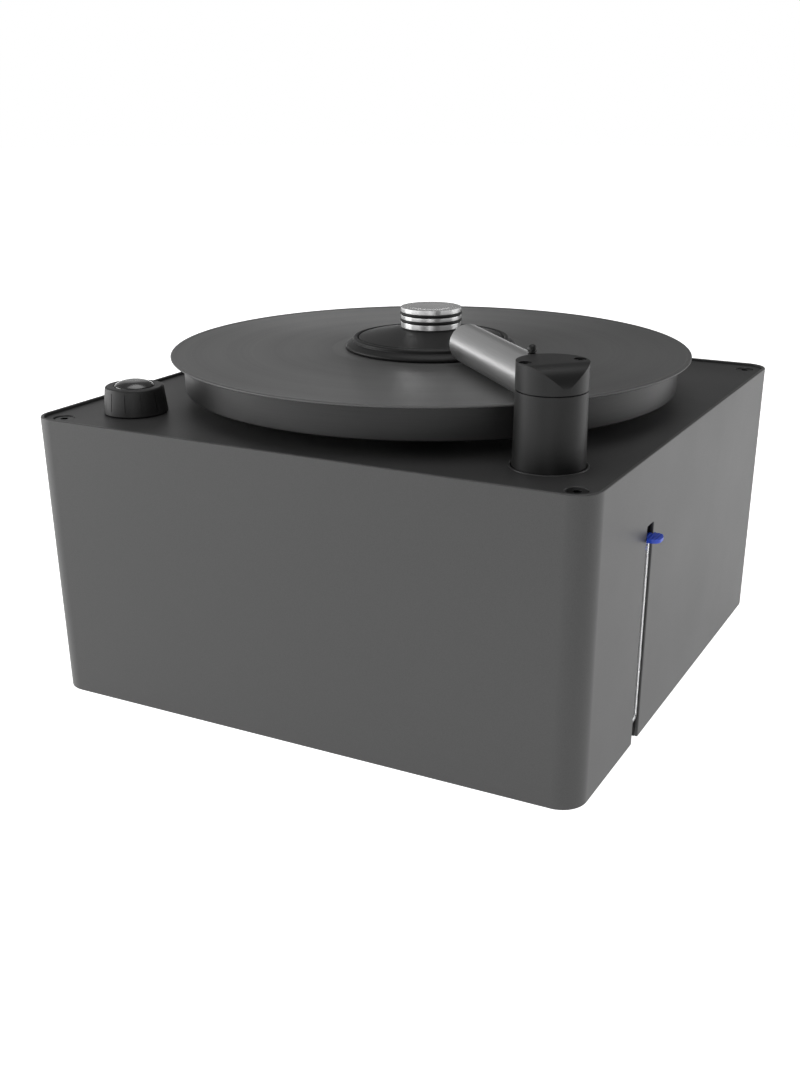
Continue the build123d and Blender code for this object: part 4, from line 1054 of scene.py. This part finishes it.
# a flat tab that widens past its neck, ridges across it and a barbed stem underneath
plug = {"thickness": 2.3, "edge": 0.35, "crease": 42, "tail": 3.5, "reach": 9.6, "half": 5.8, "corner": 4.3,
        "shift": 0.2, "tabSpare": 5, "neckEnd": 3.3, "neckHalf": 4.2, "neckCorner": 3.3, "neckOver": 0.2,
        "neckSpare": 4, "cornerSteps": 10, "trim": (20, 40, 20), "ridgeStart": 0.9, "ridgePitch": 2,
        "ridgeHigh": 0.45, "ridges": 4, "ridgeSteps": 8, "ridgeSpare": 2, "ridgeClear": 3, "ridgeLong": 30,
        "stem": 1.3, "stemSteps": 40, "root": 0.5, "barb": 2.25, "barbPitch": 2.6, "barbUp": 0.2,
        "barbShape": ((0, -0.8), (1, 0.2), (1, 0.45), (0, 0.5))}


def makePlug():
    low, high = spanOf("drain_plug")
    x, y, _ = middleOf("level_hose")
    under, top, steps = high.z - plug["thickness"], high.z, plug["cornerSteps"]
    neckEnd, trimHalf = x + plug["neckEnd"], plug["trim"][0] / 2
    outer = slabShape(plug["reach"] - plug["neckEnd"] + plug["tabSpare"], plug["half"] * 2, under, top,
                      plug["corner"], steps)
    outerX = x + (plug["reach"] + plug["neckEnd"] - plug["tabSpare"]) / 2
    tab = asObject("plugTab", moved(outer, outerX, y - plug["shift"]))
    cutWith(tab, boxShape(neckEnd - trimHalf, y, under, *plug["trim"]))
    inner = slabShape(plug["tail"] + plug["neckEnd"] + plug["neckSpare"], plug["neckHalf"] * 2, under, top,
                      plug["neckCorner"], steps)
    moved(inner, x + (plug["neckEnd"] + plug["neckSpare"] - plug["tail"]) / 2, y)
    neck = asObject("tool", inner)
    cutWith(neck, boxShape(neckEnd + plug["neckOver"] + trimHalf, y, under, *plug["trim"]))
    cutWith(tab, neck, operation="UNION")
    cutWith(tab, moved(ridgeShape(x, top), 0, y - plug["ridgeLong"] / 2))
    softenEdges(tab, plug["edge"], 3, plug["crease"])
    stem, root = plug["stem"], under + plug["root"]
    profile = [(0, low.z), (stem, low.z)]
    for pitches in (2, 1):
        level = under - plug["barbPitch"] * pitches + plug["barbUp"]
        profile += [(plug["barb"] if wide else stem, level + up) for wide, up in plug["barbShape"]]
    profile += [(stem, root), (0, root)]
    cutWith(tab, moved(latheShape(profile, plug["stemSteps"]), x, y), operation="UNION")
    tab.name = "drainPlug"
    ridePiece(tab, "blue_plastic", "hose_plug", ["drain_plug"])


def ridgeShape(x, top):
    # what lies above the tab, its underside scalloped into the ridges
    first, last = x - plug["tail"] - plug["ridgeSpare"], x + plug["reach"] + plug["ridgeSpare"]
    high, steps, above = plug["ridgeHigh"], plug["ridgeSteps"], top + plug["ridgeClear"]
    side = [(first, above), (first, top - high)]
    for i in range(plug["ridges"] * steps + 1):
        lift = abs(sin(pi * i / steps)) ** 0.5
        side.append((x + plug["ridgeStart"] + plug["ridgePitch"] * i / steps, top - high * (1 - lift)))
    side += [(last, top - high), (last, above)]
    return extrudedOutline(side, plug["ridgeLong"])


makePlug()
print("level hose and plug made")

# mains module on the back wall, places measured from the middle of its flange
inlet = {"body": (27, 47), "bodyDeep": 30, "bodyOver": 1, "flange": 2.5, "corner": 3, "cornerSteps": 10,
         "edge": 0.5, "cutDeep": 30, "socketDown": 11.5, "socket": (24.4, 16.2), "socketDeep": 14,
         "socketCut": 4, "socketRound": 0.8, "fuseUp": 3.5, "fuseOut": -5, "fuse": (20.2, 6.2),
         "rockerUp": 15.5, "rockerOut": 1, "rocker": (20.6, 12.6)}


def makeInlet():
    low, high = spanOf("power_inlet")
    x, _, z = middleOf("power_inlet")
    back, through = spanOf("shell")[1].y, inlet["cutDeep"]
    flange = slabShape(high.x - low.x, high.z - low.z, 0, inlet["flange"], inlet["corner"],
                       inlet["cornerSteps"])
    piece = asObject("mainsModule", moved(turned(flange, "X", -pi / 2), x, back, z))
    wide, tall = inlet["body"]
    body = boxShape(x, back - (inlet["bodyDeep"] - inlet["bodyOver"]) / 2, z, wide,
                    inlet["bodyDeep"] + inlet["bodyOver"], tall)
    cutWith(piece, body, operation="UNION")
    wide, tall, cut = inlet["socket"][0] / 2, inlet["socket"][1] / 2, inlet["socketCut"]
    outline = [(-wide, -tall), (wide, -tall), (wide, tall - cut), (wide - cut, tall), (cut - wide, tall),
               (-wide, tall - cut)]
    socket = moved(extrudedOutline(outline, through, inlet["socketRound"]),
                   x, back - inlet["socketDeep"], z - inlet["socketDown"])
    fuse, key = [boxShape(x, back + inlet[part + "Out"], z + inlet[part + "Up"], inlet[part][0], through,
                          inlet[part][1]) for part in ("fuse", "rocker")]
    cutWith(piece, socket, fuse, key)
    softenEdges(piece, inlet["edge"])
    ridePiece(piece, "black_plastic", "chassis", ["power_inlet"])


makeInlet()

inletPin = {"wide": 2, "high": 4, "offsets": ((-7, -2), (7, -2), (0, 2)), "round": 0.6}


def makeInletPins():
    low, high = spanOf("inlet_pins")
    x, _, z = middleOf("power_inlet")
    bm = bmesh.new()
    for right, up in inletPin["offsets"]:
        fresh = addBox(bm, inletPin["wide"], high.y - low.y, inletPin["high"])
        moved(bm, x + right, (low.y + high.y) / 2, z - inlet["socketDown"] + up, fresh)
    rounded(bm, bm.edges[:], inletPin["round"], affect="EDGES")
    ridePiece(asObject("inletPins", bm), "pin_brass", "chassis", ["inlet_pins"])


makeInletPins()

# the drawer is hollow above, with a grab bar on its face
drawer = {"wide": 20, "high": 6, "edge": 0.35, "faceOut": 2.6, "grab": (12, 1.2, 2), "wellFrom": 1.5,
          "wellTo": -2, "wellUp": 3.4, "well": (16, 10)}


def makeFuseDrawer():
    low, high = spanOf("fuse_drawer")
    x, _, z = middleOf("fuse_drawer")
    back = spanOf("shell")[1].y
    face, start, end = back + drawer["faceOut"], low.y + drawer["wellFrom"], back + drawer["wellTo"]
    wide, tall = drawer["well"]
    body = boxShape(x, (low.y + face) / 2, z, drawer["wide"], face - low.y, drawer["high"])
    piece = asObject("fuseDrawer", body)
    cutWith(piece, boxShape(x, (start + end) / 2, z + drawer["wellUp"], wide, end - start, tall))
    grab = boxShape(x, high.y - drawer["grab"][1] / 2, z, *drawer["grab"])
    cutWith(piece, grab, operation="UNION")
    softenEdges(piece, drawer["edge"])
    ridePiece(piece, "black_plastic", "fuse_tray", ["fuse_drawer"])


makeFuseDrawer()

rocker = {"wide": 20, "swing": 16, "pivotIn": 1, "round": 0.4, "edge": 0.15, "crease": 40, "lean": 15,
          "barAt": (3, 2.6), "bar": (1, 0.7, 2.6), "barPivot": 2.9, "ringAt": (3.15, -2.7),
          "ring": (1, 1.45, -0.5, 0.5), "ringSteps": 40,
          "outline": ((3.6, 5.2), (2.2, 0), (3.6, -5.2), (0, -5.2), (-5, -2.5), (-5, 2.5), (0, 5.2))}


def makeRocker():
    x, back = middleOf("mains_rocker")[0], spanOf("shell")[1].y
    z = middleOf("power_inlet")[2] + inlet["rockerUp"]
    lean, pivotY = radians(rocker["lean"]), back - rocker["pivotIn"]
    bm = extrudedOutline(rocker["outline"], rocker["wide"], rocker["round"])
    piece = asObject("mainsRocker", moved(bm, 0, -rocker["wide"] / 2))
    # the pressed-in marks: a bar on the upper face and a ring on the lower one
    barX, barZ = rocker["barAt"]
    bar = turned(boxShape(barX, 0, barZ, *rocker["bar"]), "Y", lean, about=(rocker["barPivot"], 0, barZ))
    ringX, ringZ = rocker["ringAt"]
    ring = turned(closedLathe(bandSection(*rocker["ring"]), rocker["ringSteps"]), "Y", pi / 2 - lean)
    cutWith(piece, bar, moved(ring, ringX, 0, ringZ))
    # outward is +X here, so the shape turns to face +Y and tips half its swing
    bm = turned(turned(reopened(piece), "Z", pi / 2), "X", -radians(rocker["swing"] / 2))
    piece = asObject("mainsRocker", moved(bm, x, pivotY, z))
    softenEdges(piece, rocker["edge"], 2, rocker["crease"])
    ridePiece(piece, "gloss_black", "rocker", ["mains_rocker"])


makeRocker()
print("mains module made")
